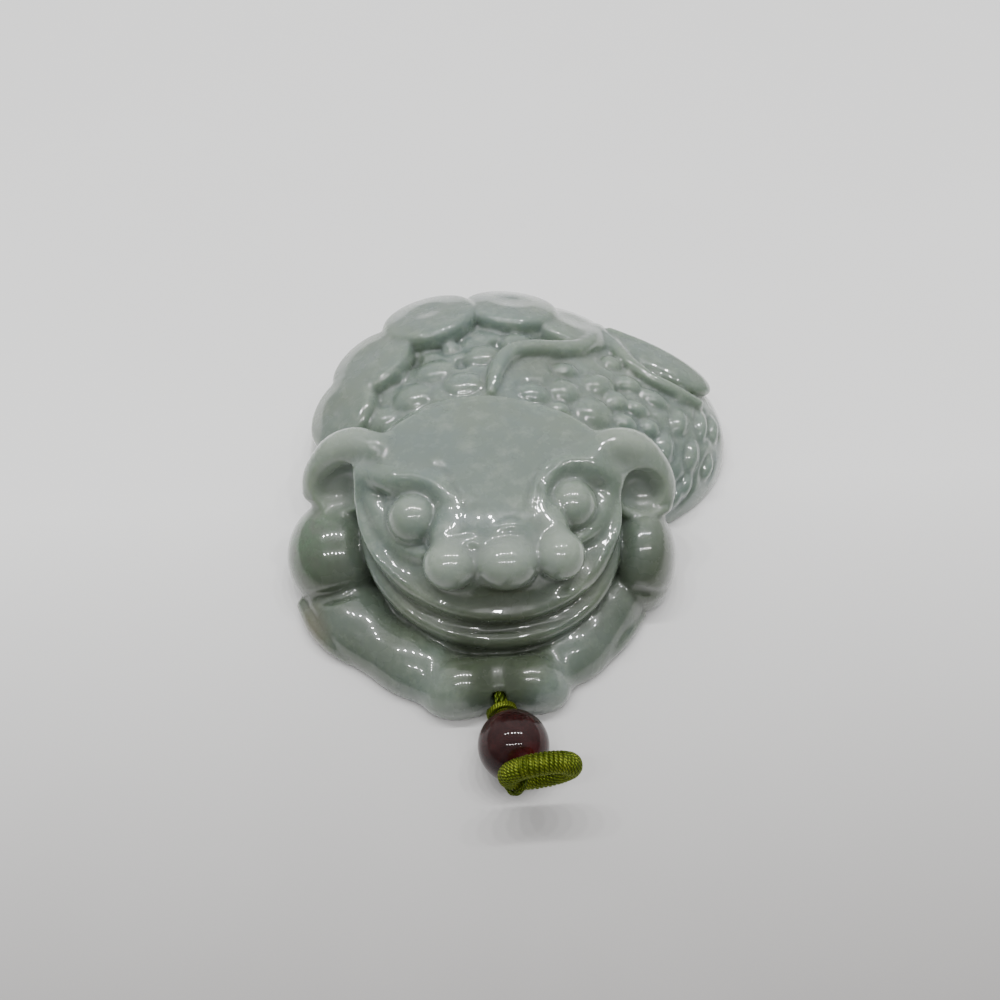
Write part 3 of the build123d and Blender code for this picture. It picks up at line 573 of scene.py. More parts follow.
jade_mesh = bpy.data.meshes.new("jade_toad")
jade_mesh.from_pydata((places * MM).tolist(), [], quads.tolist())
hollow_layer = jade_mesh.attributes.new("hollow", "FLOAT", "POINT")
hollow_layer.data.foreach_set("value", hollow.astype(np.float32))
shape = bmesh.new()
shape.from_mesh(jade_mesh)
rim_edges = [edge for edge in shape.edges if edge.is_boundary]
bmesh.ops.triangle_fill(shape, use_beauty=True, use_dissolve=False, edges=rim_edges, normal=(0, 0, -1))
shape.to_mesh(jade_mesh)
shape.free()
jade_mesh.shade_smooth()
jade_toad = bpy.data.objects.new("jade_toad", jade_mesh)
bpy.context.collection.objects.link(jade_toad)

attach(jade_toad, "root")
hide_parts("toad_carving")


def feed(tree, socket, value):
    """Give a socket what another socket puts out, or a fixed number, place or colour."""
    if isinstance(value, bpy.types.NodeSocket):
        tree.links.new(value, socket)
    elif socket.type == "RGBA":
        socket.default_value = (*value, 1.0)
    else:
        socket.default_value = value


def fed(tree, node, **values):
    """Feed a node's inputs by their names, with _ for a space, and hand back its outputs."""
    for name, value in values.items():
        feed(tree, node.inputs[name.replace("_", " ")], value)
    return node.outputs


def joined(tree, kind, **values):
    """The outputs of a new node of a kind, whose inputs are fed."""
    return fed(tree, tree.nodes.new(kind), **values)


def placed(tree, made, **values):
    """The outputs of a group set in a material, whose inputs are fed."""
    node = tree.nodes.new("ShaderNodeGroup")
    node.node_tree = made
    return fed(tree, node, **values)


def attribute(tree, name):
    """What the mesh keeps at each of its points under a name."""
    node = tree.nodes.new("ShaderNodeAttribute")
    node.attribute_name = name
    return node.outputs


def noise(tree, place, scale, **shaping):
    """Cloudy noise from about 0.3 to 0.7, with scale lumps in one unit of place."""
    return joined(tree, "ShaderNodeTexNoise", Vector=place, Scale=scale, **shaping)["Fac"]


def ranged(tree, value, from_low, from_high, to_low=0.0, to_high=1.0):
    """A value carried from one range to another, and held at its ends."""
    return joined(tree, "ShaderNodeMapRange", Value=value, From_Min=from_low, From_Max=from_high,
                  To_Min=to_low, To_Max=to_high)["Result"]


def maths(tree, operation, *values):
    """A sum worked on one or two values."""
    node = tree.nodes.new("ShaderNodeMath")
    node.operation = operation
    for socket, value in zip(node.inputs, values):
        feed(tree, socket, value)
    return node.outputs[0]


def mixed(tree, share, one, two):
    """A colour between two, by a share from 0 to 1."""
    node = tree.nodes.new("ShaderNodeMix")
    node.data_type = "RGBA"
    for socket, value in ((node.inputs[0], share), (node.inputs[6], one), (node.inputs[7], two)):
        feed(tree, socket, value)
    return node.outputs[2]


def bumped(tree, height, strength, distance):
    """The normals of a surface that rises and falls with a height, by a distance in millimetres."""
    return joined(tree, "ShaderNodeBump", Height=height, Strength=strength, Distance=distance * MM)["Normal"]


def spot(tree, place, x, y, z, radius, soft):
    """A soft round spot: 1 within radius of x, y, z, in millimetres, and 0 past radius + soft."""
    node = tree.nodes.new("ShaderNodeVectorMath")
    node.operation = "DISTANCE"
    feed(tree, node.inputs[0], place)
    feed(tree, node.inputs[1], (x * MM, y * MM, z * MM))
    return ranged(tree, node.outputs["Value"], radius * MM, (radius + soft) * MM, 1.0, 0.0)


def tinted(tree, place, colour, spots, tint):
    """A colour with a tint at soft round spots, each a row of x, y, z, radius, soft edge and share."""
    for *round_spot, share in spots:
        colour = mixed(tree, maths(tree, "MULTIPLY", spot(tree, place, *round_spot), share), colour, tint)
    return colour


def group(name, inputs, outputs):
    """An empty shader group with named inputs and outputs, what its inputs give, and its end."""
    made = bpy.data.node_groups.new(name, "ShaderNodeTree")
    for side, sockets in (("INPUT", inputs), ("OUTPUT", outputs)):
        for socket_name, kind in sockets.items():
            made.interface.new_socket(name=socket_name, in_out=side, socket_type="NodeSocket" + kind)
    return made, made.nodes.new("NodeGroupInput").outputs, made.nodes.new("NodeGroupOutput")


def new_material(name):
    """A material with its node tree, its shader and the places on its surface."""
    material = bpy.data.materials.new(name)
    material.use_nodes = True
    tree = material.node_tree
    return material, tree, tree.nodes["Principled BSDF"], joined(tree, "ShaderNodeTexCoord")["Object"]


# polish: the hand-rubbed sheen of a hard surface, patchy in gloss, with hairline rub marks
polish, given, result = group(
    "hand_polish",
    {"Place": "Vector", "Patch": "Float", "Smoothest": "Float", "Roughest": "Float", "Rub": "Float"},
    {"Roughness": "Float", "Height": "Float"},
)
patches = noise(polish, given["Place"], given["Patch"], Detail=3.0)
rubs = noise(polish, given["Place"], given["Rub"], Detail=2.0, Distortion=0.8)
sheen = ranged(polish, patches, 0.3, 0.7, given["Smoothest"], given["Roughest"])
fed(polish, result, Roughness=sheen, Height=rubs)

# clouding: two stone colours that drift into each other, with paler flecks
clouding, given, result = group(
    "stone_clouding",
    {"Place": "Vector", "Cloud": "Float", "Fleck": "Float", "Flecked": "Float", "One": "Color",
     "Other": "Color", "Pale": "Color"},
    {"Color": "Color", "Flecks": "Float"},
)
clouds = noise(clouding, given["Place"], given["Cloud"], Detail=4.0, Roughness=0.55, Distortion=0.6)
flecks = noise(clouding, given["Place"], given["Fleck"], Detail=3.0, Roughness=0.6)
fleck_share = maths(clouding, "MULTIPLY", ranged(clouding, flecks, 0.5, 0.75), given["Flecked"])
colour = mixed(clouding, ranged(clouding, clouds, 0.38, 0.62), given["One"], given["Other"])
colour = mixed(clouding, fleck_share, colour, given["Pale"])
fed(clouding, result, Color=colour, Flecks=flecks)

pale_fleck_and_painted_light = (0.300, 0.340, 0.290)
jade_grey = (0.152, 0.192, 0.154)
jade_blue = (0.140, 0.184, 0.164)
olive_dust_and_shade = (0.105, 0.120, 0.068)
painted_shade_deep = (0.062, 0.077, 0.052)
jade_green = (0.0546, 0.133, 0.0624)
thin_rim_glow_brown = (0.148, 0.0936, 0.0429)
pinhole_shade_black = (0.01, 0.012, 0.01)

# painted shade on the lower sides of shoulders and forearms, under the head and chin and below the nose: x,
# y, z, radius, soft edge, share
painted_shade_spots = [
    (-19.0, -6.5, 4.0, 4.0, 5.0, 0.85),
    (18.0, -9.5, 4.0, 4.0, 5.0, 0.85),
    (-13.0, -15.5, 1.0, 4.0, 6.0, 0.65),
    (10.5, -16.0, 1.0, 4.0, 6.0, 0.55),
    (-0.5, -19.6, 5.0, 3.6, 2.6, 1.0),
    (-0.5, -23.5, 1.0, 3.5, 4.5, 0.35),
    (0.0, -15.5, 5.5, 4.5, 5.0, 0.15),
    (-20.0, 6.0, 2.0, 3.0, 6.0, 0.4),
    (0.5, -17.0, 9.3, 3.5, 5.0, 0.4),
]
# olive in recesses, ear hollows and on the lower sides, partly dust and partly painted shade; columns as
# above
olive_dust_and_shade_spots = [
    (0.5, -17.5, 8.5, 3.0, 5.0, 0.55),
    (-9.0, -15.0, 8.6, 2.0, 4.0, 0.45),
    (10.0, -14.0, 8.8, 2.0, 4.0, 0.45),
    (0.0, -19.5, 4.6, 2.0, 4.5, 0.6),
    (7.0, 12.6, 14.0, 1.5, 3.0, 0.35),
    (-16.5, 10.0, 9.0, 2.0, 6.0, 0.25),
    (-20.0, -6.0, 5.0, 2.0, 5.0, 0.4),
    (19.0, -9.0, 4.0, 2.0, 5.0, 0.4),
    (-18.0, -2.0, 10.5, 1.5, 2.5, 0.4),
    (17.4, -4.9, 10.5, 1.2, 2.2, 0.35),
    (-18.0, 22.0, 5.0, 4.0, 7.0, 0.3),
]
# painted light on the tops of the nose lobes, eyes and ear rolls, and in the ear hollows; columns as above
painted_light_spots = [
    (-4.7, -14.0, 14.6, 1.5, 3.0, 0.5),
    (1.0, -14.5, 15.0, 1.5, 3.0, 0.5),
    (6.5, -13.6, 14.8, 1.5, 3.0, 0.5),
    (-15.6, 1.8, 15.6, 1.5, 3.5, 0.6),
    (15.6, 0.2, 15.6, 1.5, 3.5, 0.6),
    (-8.2, -7.4, 14.8, 0.8, 2.4, 0.35),
    (8.3, -6.8, 15.0, 0.8, 2.4, 0.35),
    (-17.4, -1.4, 11.2, 1.6, 2.4, 0.7),
    (16.9, -4.4, 11.2, 1.4, 2.2, 0.7),
]

# a green spot on the left shoulder, a painted brown glow of light through the thin rim at two places, and a
# black dot under the nose as the painted shade of a pinhole
green_spot = (-20.5, -4.5, 6.5, 1.5, 4.5)
thin_rim_glow_spots = [
    (-19.5, -13.0, 0.5, 0.6, 3.2, 0.55),
    (29.5, 9.5, 1.0, 0.6, 3.2, 0.55),
]
pinhole_shade_spots = [
    (-3.7, -15.4, 11.6, 0.12, 0.2, 1.0),
]

# spots that the polishing stick hardly reaches
dull_spots = [
    (-0.5, -21.6, 4.4, 1.8, 1.6, 0.95),
    (-17.2, -1.9, 10.4, 2.4, 1.6, 0.6),
    (17.0, -4.7, 10.2, 2.2, 1.4, 0.6),
]

jade, tree, shader, place = new_material("polished_jade")
stone = placed(tree, clouding, Place=place, Cloud=110.0, Fleck=700.0, Flecked=0.4, One=jade_grey,
               Other=jade_blue, Pale=pale_fleck_and_painted_light)
hollow_depth = attribute(tree, "hollow")["Fac"]
# painted shade, partly dust too: the colour turns olive deep in the hollows
colour = mixed(tree, ranged(tree, hollow_depth, 0.12, 0.7, 0.0, 0.2), stone["Color"], olive_dust_and_shade)
# partly dust, partly painted shade: olive at the spots in recesses and low down
colour = tinted(tree, place, colour, olive_dust_and_shade_spots, olive_dust_and_shade)
# painted shade at the deep spots, low down and under the head
colour = tinted(tree, place, colour, painted_shade_spots, painted_shade_deep)
# painted light at the pale spots; the same pale colour also makes the stone's own flecks
colour = tinted(tree, place, colour, painted_light_spots, pale_fleck_and_painted_light)
speckled = maths(tree, "MULTIPLY", spot(tree, place, *green_spot), ranged(tree, stone["Flecks"], 0.35, 0.6))
colour = mixed(tree, maths(tree, "MULTIPLY", speckled, 0.5), colour, jade_green)
# painted glow, brown, where light comes through the thin rim
colour = tinted(tree, place, colour, thin_rim_glow_spots, thin_rim_glow_brown)
# painted shade of a pinhole under the nose, as a black dot
colour = tinted(tree, place, colour, pinhole_shade_spots, pinhole_shade_black)
gloss = ranged(tree, hollow_depth, 0.25, 0.7, 1.0, 0.35)
for *round_spot, share in dull_spots:
    dulled = ranged(tree, spot(tree, place, *round_spot), 0.0, 1.0, 1.0, 1.0 - share)
    gloss = maths(tree, "MULTIPLY", gloss, dulled)
rub = placed(tree, polish, Place=place, Patch=450.0, Smoothest=0.2, Roughest=0.32, Rub=900.0)
fed(tree, shader, Base_Color=colour, Roughness=rub["Roughness"], IOR=1.6, Specular_IOR_Level=0.2,
    Subsurface_Weight=0.9, Subsurface_Radius=(1.0, 1.15, 0.8), Subsurface_Scale=2.8 * MM,
    Coat_Weight=gloss, Coat_IOR=1.6, Coat_Roughness=0.012, Normal=bumped(tree, rub["Height"], 0.25, 0.06))
jade_mesh.materials.append(jade)

# The thread: green silk, three plies twisted to one strand. It loops through the drilled hole and round
# the jade's rim, runs doubled through the binding and the bead, and is hitched round one end of the eye.
strand_radius = 0.34
stem_radius = 0.5
loop_front_y = -24.0
loop_low_z = 0.5
loop_front = np.array([hole_x, loop_front_y, hole_z])
bead_centre = np.array([0.62, -29.0, 3.6])
bead_radius = 3.58
bead_way = (bead_centre - loop_front) / np.linalg.norm(bead_centre - loop_front)
eye_centre = np.array([2.69, -33.72, 8.01])
eye_half_length = 2.95
eye_half_width = 2.15
eye_tube_radius = 1.1
eye_out = np.array([0.081, -0.989, -0.129])
eye_out = eye_out / np.linalg.norm(eye_out)
eye_long = np.array([0.992, 0.068, 0.107])
eye_long = eye_long - eye_out * (eye_long @ eye_out)
eye_long = eye_long / np.linalg.norm(eye_long)
eye_up = np.cross(eye_out, eye_long)
hitch_angle = math.radians(-145)
stem_reach = 0.4
hitch_strand = 0.28
hitch_clearance = 0.24
ply_share = 0.5
ply_pitch = 2.2
stem_pitch = 3.4
fan_pitch = 1.6
line_step = 0.12
first_side = (0.31, 0.53, 0.79)


def square_ways(line):
    """At each point of a line the way ahead and two ways square to it, carried along without a twist."""
    ahead = np.gradient(line[:, :3], axis=0)
    ahead = ahead / np.linalg.norm(ahead, axis=1, keepdims=True)
    side = np.cross(ahead[0], first_side)
    sides = []
    for way in ahead:
        side = side - way * (side @ way)
        side = side / np.linalg.norm(side)
        sides.append(side)
    sides = np.array(sides)
    return ahead, sides, np.cross(ahead, sides)


def spun(line, sides=8):
    """A closed tube along a line of x, y, z, radius: vertices, faces, and for each vertex its fibre place."""
    _, side, up = square_ways(line)
    turn = np.arange(sides) / sides * 2 * math.pi
    ring = np.cos(turn)[None, :, None] * side[:, None] + np.sin(turn)[None, :, None] * up[:, None]
    vertices = (line[:, None, :3] + line[:, None, 3:] * ring).reshape(-1, 3)
    steps = np.linalg.norm(np.diff(line[:, :3], axis=0), axis=1)
    along = np.concatenate([[0.0], np.cumsum(steps)])
    around = np.arange(sides) / sides
    fibre = np.stack([np.repeat(along, sides), np.tile(around, len(line)), np.zeros(len(vertices))], 1)
    faces = []
    for i in range(len(line) - 1):
        for j in range(sides):
            k = (j + 1) % sides
            faces.append((i * sides + j, i * sides + k, (i + 1) * sides + k, (i + 1) * sides + j))
    faces.append(tuple(range(sides))[::-1])
    faces.append(tuple(range((len(line) - 1) * sides, len(line) * sides)))
    return vertices, faces, fibre


def evenly(line, step):
    """The same line with its points a step apart."""
    lengths = np.concatenate([[0.0], np.cumsum(np.linalg.norm(np.diff(line[:, :3], axis=0), axis=1))])
    stops = np.linspace(0, lengths[-1], max(3, int(lengths[-1] / step)))
    return np.stack([np.interp(stops, lengths, line[:, i]) for i in range(4)], 1)


def plied(line, plies=3, pitch=ply_pitch):
    """The plies of a strand twisted about its line."""
    line = evenly(line, line_step)
    _, side, up = square_ways(line)
    along = np.concatenate([[0.0], np.cumsum(np.linalg.norm(np.diff(line[:, :3], axis=0), axis=1))])
    tubes = []
    for ply in range(plies):
        angle = 2 * math.pi * (along / pitch + ply / plies)
        off = (np.cos(angle)[:, None] * side + np.sin(angle)[:, None] * up) * line[:, 3:] * (1 - ply_share)
        tubes.append(spun(np.concatenate([line[:, :3] + off, line[:, 3:] * ply_share], 1)))
    return tubes


def thread_piece(name, tubes, *nodes):
    """One piece of silk made of tubes, in place of nodes of the frame."""
    vertices, faces, fibres, start = [], [], [], 0
    for tube_vertices, tube_faces, fibre in tubes:
        vertices.append(tube_vertices)
        fibres.append(fibre)
        faces += [tuple(i + start for i in face) for face in tube_faces]
        start += len(tube_vertices)
    mesh = bpy.data.meshes.new(name)
    mesh.from_pydata((np.vstack(vertices) * MM).tolist(), [], faces)
    layer = mesh.attributes.new("fibre", "FLOAT_VECTOR", "POINT")
    layer.data.foreach_set("vector", np.vstack(fibres).astype(np.float32).ravel())
    mesh.shade_smooth()
    piece = bpy.data.objects.new(name, mesh)
    bpy.context.collection.objects.link(piece)
    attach(piece, "root")
    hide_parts(*nodes)
    return mesh


def run(points, radius):
    """A smooth line of one radius through points."""
    return evenly(smooth_line([(*point, radius) for point in points], spans=8), line_step)


stem_end = bead_centre + bead_way * (bead_radius + stem_reach)
hitch_centre = (eye_centre + eye_half_length * math.cos(hitch_angle) * eye_long
                + eye_half_width * math.sin(hitch_angle) * eye_up)
hitch_way = (-eye_half_length * math.sin(hitch_angle) * eye_long
             + eye_half_width * math.cos(hitch_angle) * eye_up)
hitch_way = hitch_way / np.linalg.norm(hitch_way)
hitch_radius = eye_tube_radius + hitch_clearance
to_stem = stem_end - hitch_centre
hitch_side = to_stem - hitch_way * (to_stem @ hitch_way)
hitch_side = hitch_side / np.linalg.norm(hitch_side)
hitch_across = np.cross(hitch_way, hitch_side)

# the loop through the hole and round the rim: y, z
in_hole_y = -22.8
loop_sides = [
    (hole_mouth_y + 1.9, hole_z),
    (in_hole_y, hole_z),
    (hole_end_y - 0.25, hole_z - 0.1),
    (hole_end_y - 0.05, hole_z - 0.5),
    (hole_end_y - 0.05, loop_low_z + 0.5),
    (hole_end_y - 0.25, loop_low_z + 0.1),
    (in_hole_y, loop_low_z),
    (loop_front_y + 0.3, loop_low_z + 0.02),
    (loop_front_y + 0.02, loop_low_z + 0.4),
    (loop_front_y, hole_z - 0.6),
    (loop_front_y - 0.1, hole_z - 0.1),
]
loop_points = [(hole_x, y, z) for y, z in loop_sides]

# strands that fan out of the hole and gather in the binding: across, up, radius
fan_strands = ((-0.2, 0.3, 0.34), (0.36, 0.34, 0.34), (0.8, -0.1, 0.3), (-0.24, -0.35, 0.3), (0.3, -0.4, 0.3))
fan_mouth_y = -22.3
fan_lip_y = -23.4
fan_widest = 0.35
fan_end = 1.5
stem_start = 1.2
stem_points = 12
hitch_angles = np.linspace(-0.3, 2 * math.pi - 0.1, 28)
hitch_turn = [hitch_centre + hitch_radius * (math.cos(a) * hitch_side + math.sin(a) * hitch_across)
              for a in hitch_angles]
thread_tubes = plied(run(loop_points, strand_radius))
for across, high, radius in fan_strands:
    mouth = np.array([hole_x + 0.5 * across, fan_mouth_y, hole_z + 0.6 * high])
    lip = np.array([hole_x + 0.8 * across, fan_lip_y, hole_z + 1.1 * high])
    spread_out = loop_front + bead_way * fan_widest + np.array([across, 0, 1.3 * high])
    gathered = loop_front + bead_way * fan_end + np.array([0.6 * across, 0, 0.8 * high])
    thread_tubes += plied(run([mouth, lip, spread_out, gathered], radius), 2, fan_pitch)
stem_reaches = np.linspace(stem_start, (stem_end - loop_front) @ bead_way, stem_points)
stem = [loop_front + bead_way * reach for reach in stem_reaches]
thread_tubes += plied(run(stem, stem_radius), 2, stem_pitch)
hitch = [stem_end - 0.5 * bead_way, stem_end, (stem_end + hitch_turn[0]) / 2, *hitch_turn]
thread_tubes += plied(run(hitch, hitch_strand))
thread_mesh = thread_piece("green_thread", thread_tubes, "hanging_thread")

# twist: the slanting fibres of a silk ply, as height and as painted light and shade
twist, given, result = group(
    "silk_twist",
    {"Fibre": "Vector", "Pitch": "Float", "Fibres": "Float", "Fuzz": "Float"},
    {"Height": "Float", "Light": "Float"},
)
fibre = joined(twist, "ShaderNodeSeparateXYZ", Vector=given["Fibre"])
waves = maths(twist, "ADD", maths(twist, "DIVIDE", fibre["X"], given["Pitch"]), fibre["Y"])
waves = maths(twist, "MULTIPLY", maths(twist, "MULTIPLY", waves, given["Fibres"]), 2 * math.pi)
loose = maths(twist, "MULTIPLY", noise(twist, given["Fibre"], 3.0, Detail=4.0), given["Fuzz"])
height = maths(twist, "ADD", ranged(twist, maths(twist, "SINE", waves), -1.0, 1.0), loose)
fed(twist, result, Height=height, Light=ranged(twist, height, 0.1, 1.2))


def silk(name, pitch, dark, dull, bright, gloss):
    """Dyed silk: the twist's pitch in millimetres, three colours, the darkest of them painted as shade
    between the fibres, and how strongly it gleams.
    """
    made, tree, shader, place = new_material(name)
    ply = placed(tree, twist, Fibre=attribute(tree, "fibre")["Vector"], Pitch=pitch, Fibres=3.0, Fuzz=0.5)
    dye = ranged(tree, noise(tree, place, 1 / (1.2 * MM), Detail=3.0), 0.35, 0.65)
    # painted shade in the grooves between the twist's fibres, lighter on their crests
    colour = mixed(tree, ranged(tree, ply["Light"], 0.15, 0.75), dark, mixed(tree, dye, dull, bright))
    fed(tree, shader, Base_Color=colour, Roughness=ranged(tree, ply["Light"], 0.0, 1.0, 0.5, 0.32),
        Metallic=gloss, Specular_Tint=(0.85, 1.0, 0.4), Normal=bumped(tree, ply["Height"], 0.7, 0.05))
    return made


plied_silk = silk("plied_green_silk", pitch=1.1, dark=(0.010, 0.017, 0.002), dull=(0.055, 0.085, 0.006),
                  bright=(0.10, 0.135, 0.008), gloss=0.5)
thread_mesh.materials.append(plied_silk)

# The binding: a finer thread of the same green silk, wound tight round the strands between carving and bead.
# It lies in three layers, one over the other, and closes the gap above the bead.
binding_start = 0.58
binding_length = 0.86
winding_radius = 0.215
turn_steps = 30

# layers of the winding: outer radius, turns, start of the first turn
winding_layers = ((1.62, 3, 0.0), (1.28, 2, 0.5), (0.95, 2, 0.2))
_, binding_side, binding_up = square_ways(np.array([loop_front, bead_centre]))
binding_tubes = []
for outer, turns, phase in winding_layers:
    share = np.linspace(0, 1, turn_steps * turns)
    angle = 2 * math.pi * (share * turns + phase)
    reach = binding_start + winding_radius + share * (binding_length - 2 * winding_radius)
    round_strands = np.cos(angle)[:, None] * binding_side[0] + np.sin(angle)[:, None] * binding_up[0]
    places_wound = loop_front + reach[:, None] * bead_way + (outer - winding_radius) * round_strands
    binding_tubes.append(spun(np.concatenate([places_wound, np.full((len(share), 1), winding_radius)], 1)))
binding_mesh = thread_piece("binding_turns", binding_tubes, "neck_binding")
wound_silk = silk("wound_green_silk", pitch=0.8, dark=(0.022, 0.034, 0.003), dull=(0.08, 0.112, 0.008),
                  bright=(0.165, 0.2, 0.018), gloss=0.65)
binding_mesh.materials.append(wound_silk)

# The bead: a round stop on the thread, of dark red-brown agate. It is ground round, drilled through from both
# ends for the thread, and polished.
bore_radius = 0.8
bore_round = 0.12
bead_round = 64
surface_rows = 48
bore_rows = 8
bead_profile = []
start_angle = math.asin((bore_radius + bore_round) / bead_radius)
for angle in np.linspace(start_angle, math.pi - start_angle, surface_rows):
    bead_profile.append((bead_radius * math.cos(angle), bead_radius * math.sin(angle)))
bore_end = bead_radius * math.cos(start_angle)
for reach in np.linspace(-bore_end + bore_round, bore_end - bore_round, bore_rows):
    bead_profile.append((reach, bore_radius))
bead_vertices = []
for reach, radius in bead_profile:
    for i in range(bead_round):
        angle = 2 * math.pi * i / bead_round
        off = math.cos(angle) * binding_side[0] + math.sin(angle) * binding_up[0]
        bead_vertices.append(bead_centre + reach * bead_way + radius * off)
bead_faces = []
for i in range(len(bead_profile)):
    for j in range(bead_round):
        across, down = (j + 1) % bead_round, (i + 1) % len(bead_profile)
        here, below = i * bead_round, down * bead_round
        bead_faces.append((here + j, below + j, below + across, here + across))
bead_mesh = bpy.data.meshes.new("dark_bead")
bead_mesh.from_pydata((np.array(bead_vertices) * MM).tolist(), [], bead_faces)
bead_mesh.shade_smooth()
dark_bead = bpy.data.objects.new("dark_bead", bead_mesh)
bpy.context.collection.objects.link(dark_bead)
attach(dark_bead, "root")
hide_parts("bead")

agate_brown = (0.016, 0.0045, 0.0045)
agate_plum = (0.034, 0.011, 0.011)
agate_pale = (0.07, 0.028, 0.026)
glow_red = (0.07, 0.005, 0.007)

# spots where light comes through the bead, columns as the jade's
glowing_spots = [
    (1.2, -31.6, 5.2, 0.4, 1.4, 0.75),
    (2.2, -30.6, 5.8, 0.2, 0.9, 0.6),
]
bead_stone, tree, shader, place = new_material("dark_red_agate")
agate = placed(tree, clouding, Place=place, Cloud=260.0, Fleck=900.0, Flecked=0.25, One=agate_brown,
               Other=agate_plum, Pale=agate_pale)
colour = tinted(tree, place, agate["Color"], glowing_spots, glow_red)
rub = placed(tree, polish, Place=place, Patch=500.0, Smoothest=0.04, Roughest=0.1, Rub=1500.0)
fed(tree, shader, Base_Color=colour, Roughness=rub["Roughness"], IOR=1.5, Specular_IOR_Level=0.32,
    Subsurface_Weight=0.4, Subsurface_Radius=(1.6, 0.5, 0.5), Subsurface_Scale=1.0 * MM,
    Normal=bumped(tree, rub["Height"], 0.05, 0.04))
bead_mesh.materials.append(bead_stone)

# The eye: an oval ring of cord that the necklace goes through. It is wound over its whole length with the
# same green silk, turn against turn, which makes it stiff enough to stand by itself.
eye_turns = 46
eye_thread = 0.25
eye_core_radius = 0.92
eye_core_sides = 16
eye_unevenness = 0.02
eye_drift = 0.12
eye_turn_steps = 26
core_steps = 72
eye_jitter = np.random.default_rng(7).uniform(-1, 1, (2, eye_turns + 2))


def on_eye(turn_angle, tube_angle, radius):
    """Places round the eye's ring: how far round the ring, and how far round its tube."""
    middle = (eye_half_length * np.cos(turn_angle)[:, None] * eye_long
              + eye_half_width * np.sin(turn_angle)[:, None] * eye_up)
    ahead = (-eye_half_length * np.sin(turn_angle)[:, None] * eye_long
             + eye_half_width * np.cos(turn_angle)[:, None] * eye_up)
    ahead = ahead / np.linalg.norm(ahead, axis=1, keepdims=True)
    outward = np.cross(ahead, eye_out)
    off = np.cos(tube_angle)[:, None] * outward + np.sin(tube_angle)[:, None] * eye_out
    return eye_centre + middle + radius[:, None] * off


share = np.linspace(0, 1, eye_turns * eye_turn_steps + 1)
uneven = np.interp(share * eye_turns, np.arange(eye_turns + 2), eye_jitter[0])
lifted = np.interp(share * eye_turns, np.arange(eye_turns + 2), eye_jitter[1])
turn_angle = 2 * math.pi * (share + eye_drift * uneven / eye_turns)
wound_radius = eye_tube_radius - eye_thread - eye_unevenness + eye_unevenness * lifted
wound = on_eye(turn_angle, 2 * math.pi * share * eye_turns, wound_radius)
eye_tubes = [spun(np.concatenate([wound, np.full((len(share), 1), eye_thread)], 1))]
core_share = np.linspace(0, 1, core_steps + 1)
core = on_eye(2 * math.pi * core_share, np.zeros(core_steps + 1), np.zeros(core_steps + 1))
core_line = np.concatenate([core, np.full((core_steps + 1, 1), eye_core_radius)], 1)
eye_tubes.append(spun(core_line, eye_core_sides))
eye_mesh = thread_piece("wound_eye_turns", eye_tubes, "wound_eye")
eye_mesh.materials.append(wound_silk)

# Floor, light and camera: a pale matt card under two rows of small ceiling lamps, seen from in front and
# above. The room is brighter at the back, where most of the light comes from, and the card's colour is
# painted darker towards the front as painted shade.
floor_half = 1.5
card_front_shade = (0.30, 0.288, 0.283)
card_grey = (0.84, 0.835, 0.83)
card_white = (0.86, 0.857, 0.852)
card_pale = (0.9, 0.9, 0.895)
floor_mesh = bpy.data.meshes.new("floor")
floor_corners = [(x * floor_half, y * floor_half, 0) for x, y in ((-1, -1), (1, -1), (1, 1), (-1, 1))]
floor_mesh.from_pydata(floor_corners, [], [(0, 1, 2, 3)])
floor = bpy.data.objects.new("floor", floor_mesh)
bpy.context.collection.objects.link(floor)
card, tree, shader, place = new_material("pale_card")
card_face = placed(tree, clouding, Place=place, Cloud=14.0, Fleck=1800.0, Flecked=0.12, One=card_grey,
                   Other=card_white, Pale=card_pale)
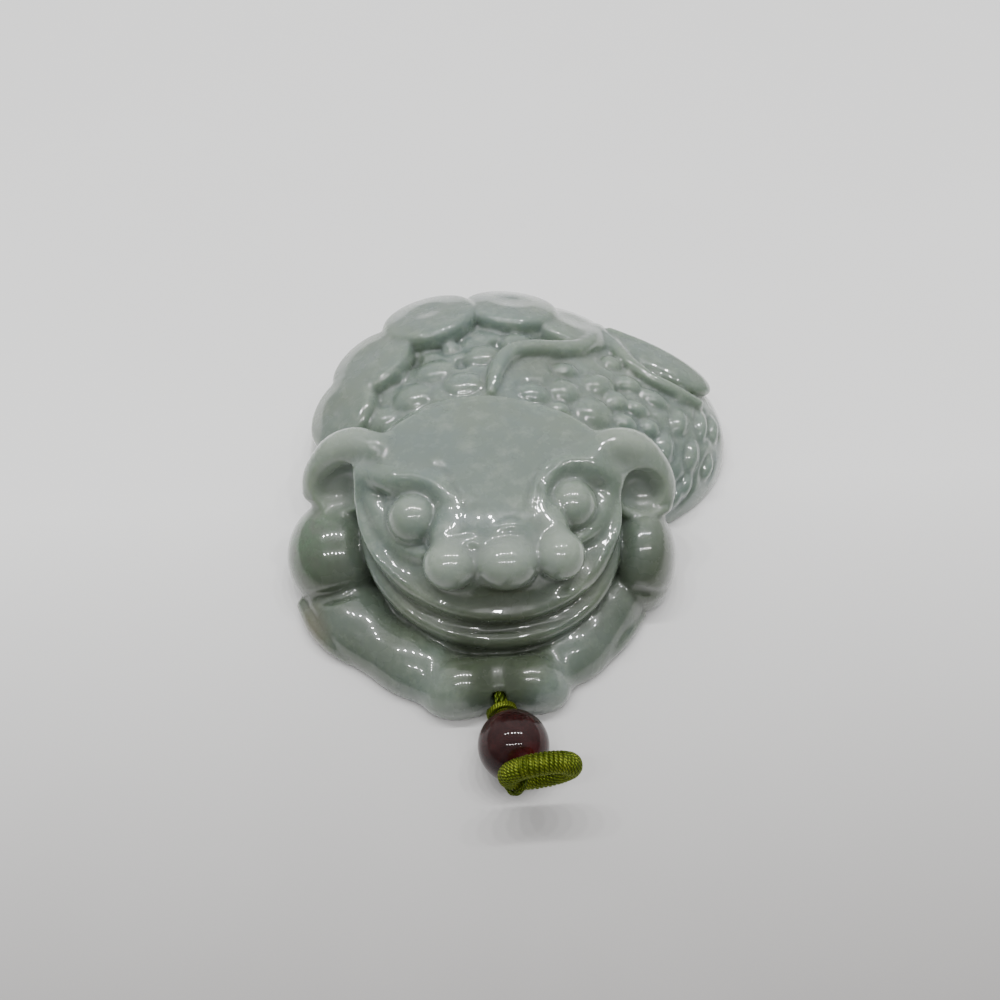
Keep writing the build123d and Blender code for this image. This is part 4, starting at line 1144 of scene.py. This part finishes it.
# painted shade: the card's colour darkens towards the front
painted_shade_share = ranged(tree, joined(tree, "ShaderNodeSeparateXYZ", Vector=place)["Y"], -0.06, 0.006)
rub = placed(tree, polish, Place=place, Patch=60.0, Smoothest=0.6, Roughest=0.75, Rub=3000.0)
colour = mixed(tree, painted_shade_share, card_front_shade, card_face["Color"])
fed(tree, shader, Base_Color=colour, Roughness=rub["Roughness"],
    Normal=bumped(tree, rub["Height"], 0.1, 0.05))
floor_mesh.materials.append(card)

world = bpy.data.worlds.new("room")
world.use_nodes = True
sky = world.node_tree
sky_way = joined(sky, "ShaderNodeSeparateXYZ", Vector=joined(sky, "ShaderNodeTexCoord")["Generated"])
back_light = ranged(sky, sky_way["Y"], -0.7, 0.9, 0.28, 1.0)
high_light = ranged(sky, sky_way["Z"], 0.05, 0.75, 0.5, 1.0)
room_light = mixed(sky, maths(sky, "MULTIPLY", back_light, high_light), (0.0, 0.0, 0.0), (1.0, 1.0, 1.0))
fed(sky, sky.nodes["Background"], Color=room_light, Strength=1.2)
bpy.context.scene.world = world

row_lamps = 6
row_pitch = 0.18
row_height = 1.0
lamp_wide = 0.045
for row, row_y, power in (("front_row", -0.42, 1.0), ("rear_row", 0.22, 1.4)):
    for i in range(row_lamps):
        light = bpy.data.lights.new(f"{row}_{i}", "AREA")
        light.shape = "SQUARE"
        light.size = lamp_wide
        light.energy = power
        holder = bpy.data.objects.new(light.name, light)
        holder.location = ((i - (row_lamps - 1) / 2) * row_pitch, row_y, row_height)
        bpy.context.collection.objects.link(holder)

camera_rise = math.radians(52.0)
camera_turn = math.radians(-4.0)
camera_distance = 0.120
lens_in_widths = 1.05
camera_target = Vector((1.3, 0.0, 6.0)) * MM
camera_way = Vector((math.sin(camera_turn), -math.cos(camera_turn), 0.0)) * math.cos(camera_rise)
camera_way.z = math.sin(camera_rise)
camera = bpy.data.cameras.new("camera")
camera.sensor_width = 36.0
camera.lens = lens_in_widths * camera.sensor_width
camera.clip_start = 0.005
camera_holder = bpy.data.objects.new("camera", camera)
camera_holder.location = camera_target + camera_way * camera_distance
camera_holder.rotation_euler = (-camera_way).to_track_quat("-Z", "Y").to_euler()
bpy.context.collection.objects.link(camera_holder)
bpy.context.scene.camera = camera_holder
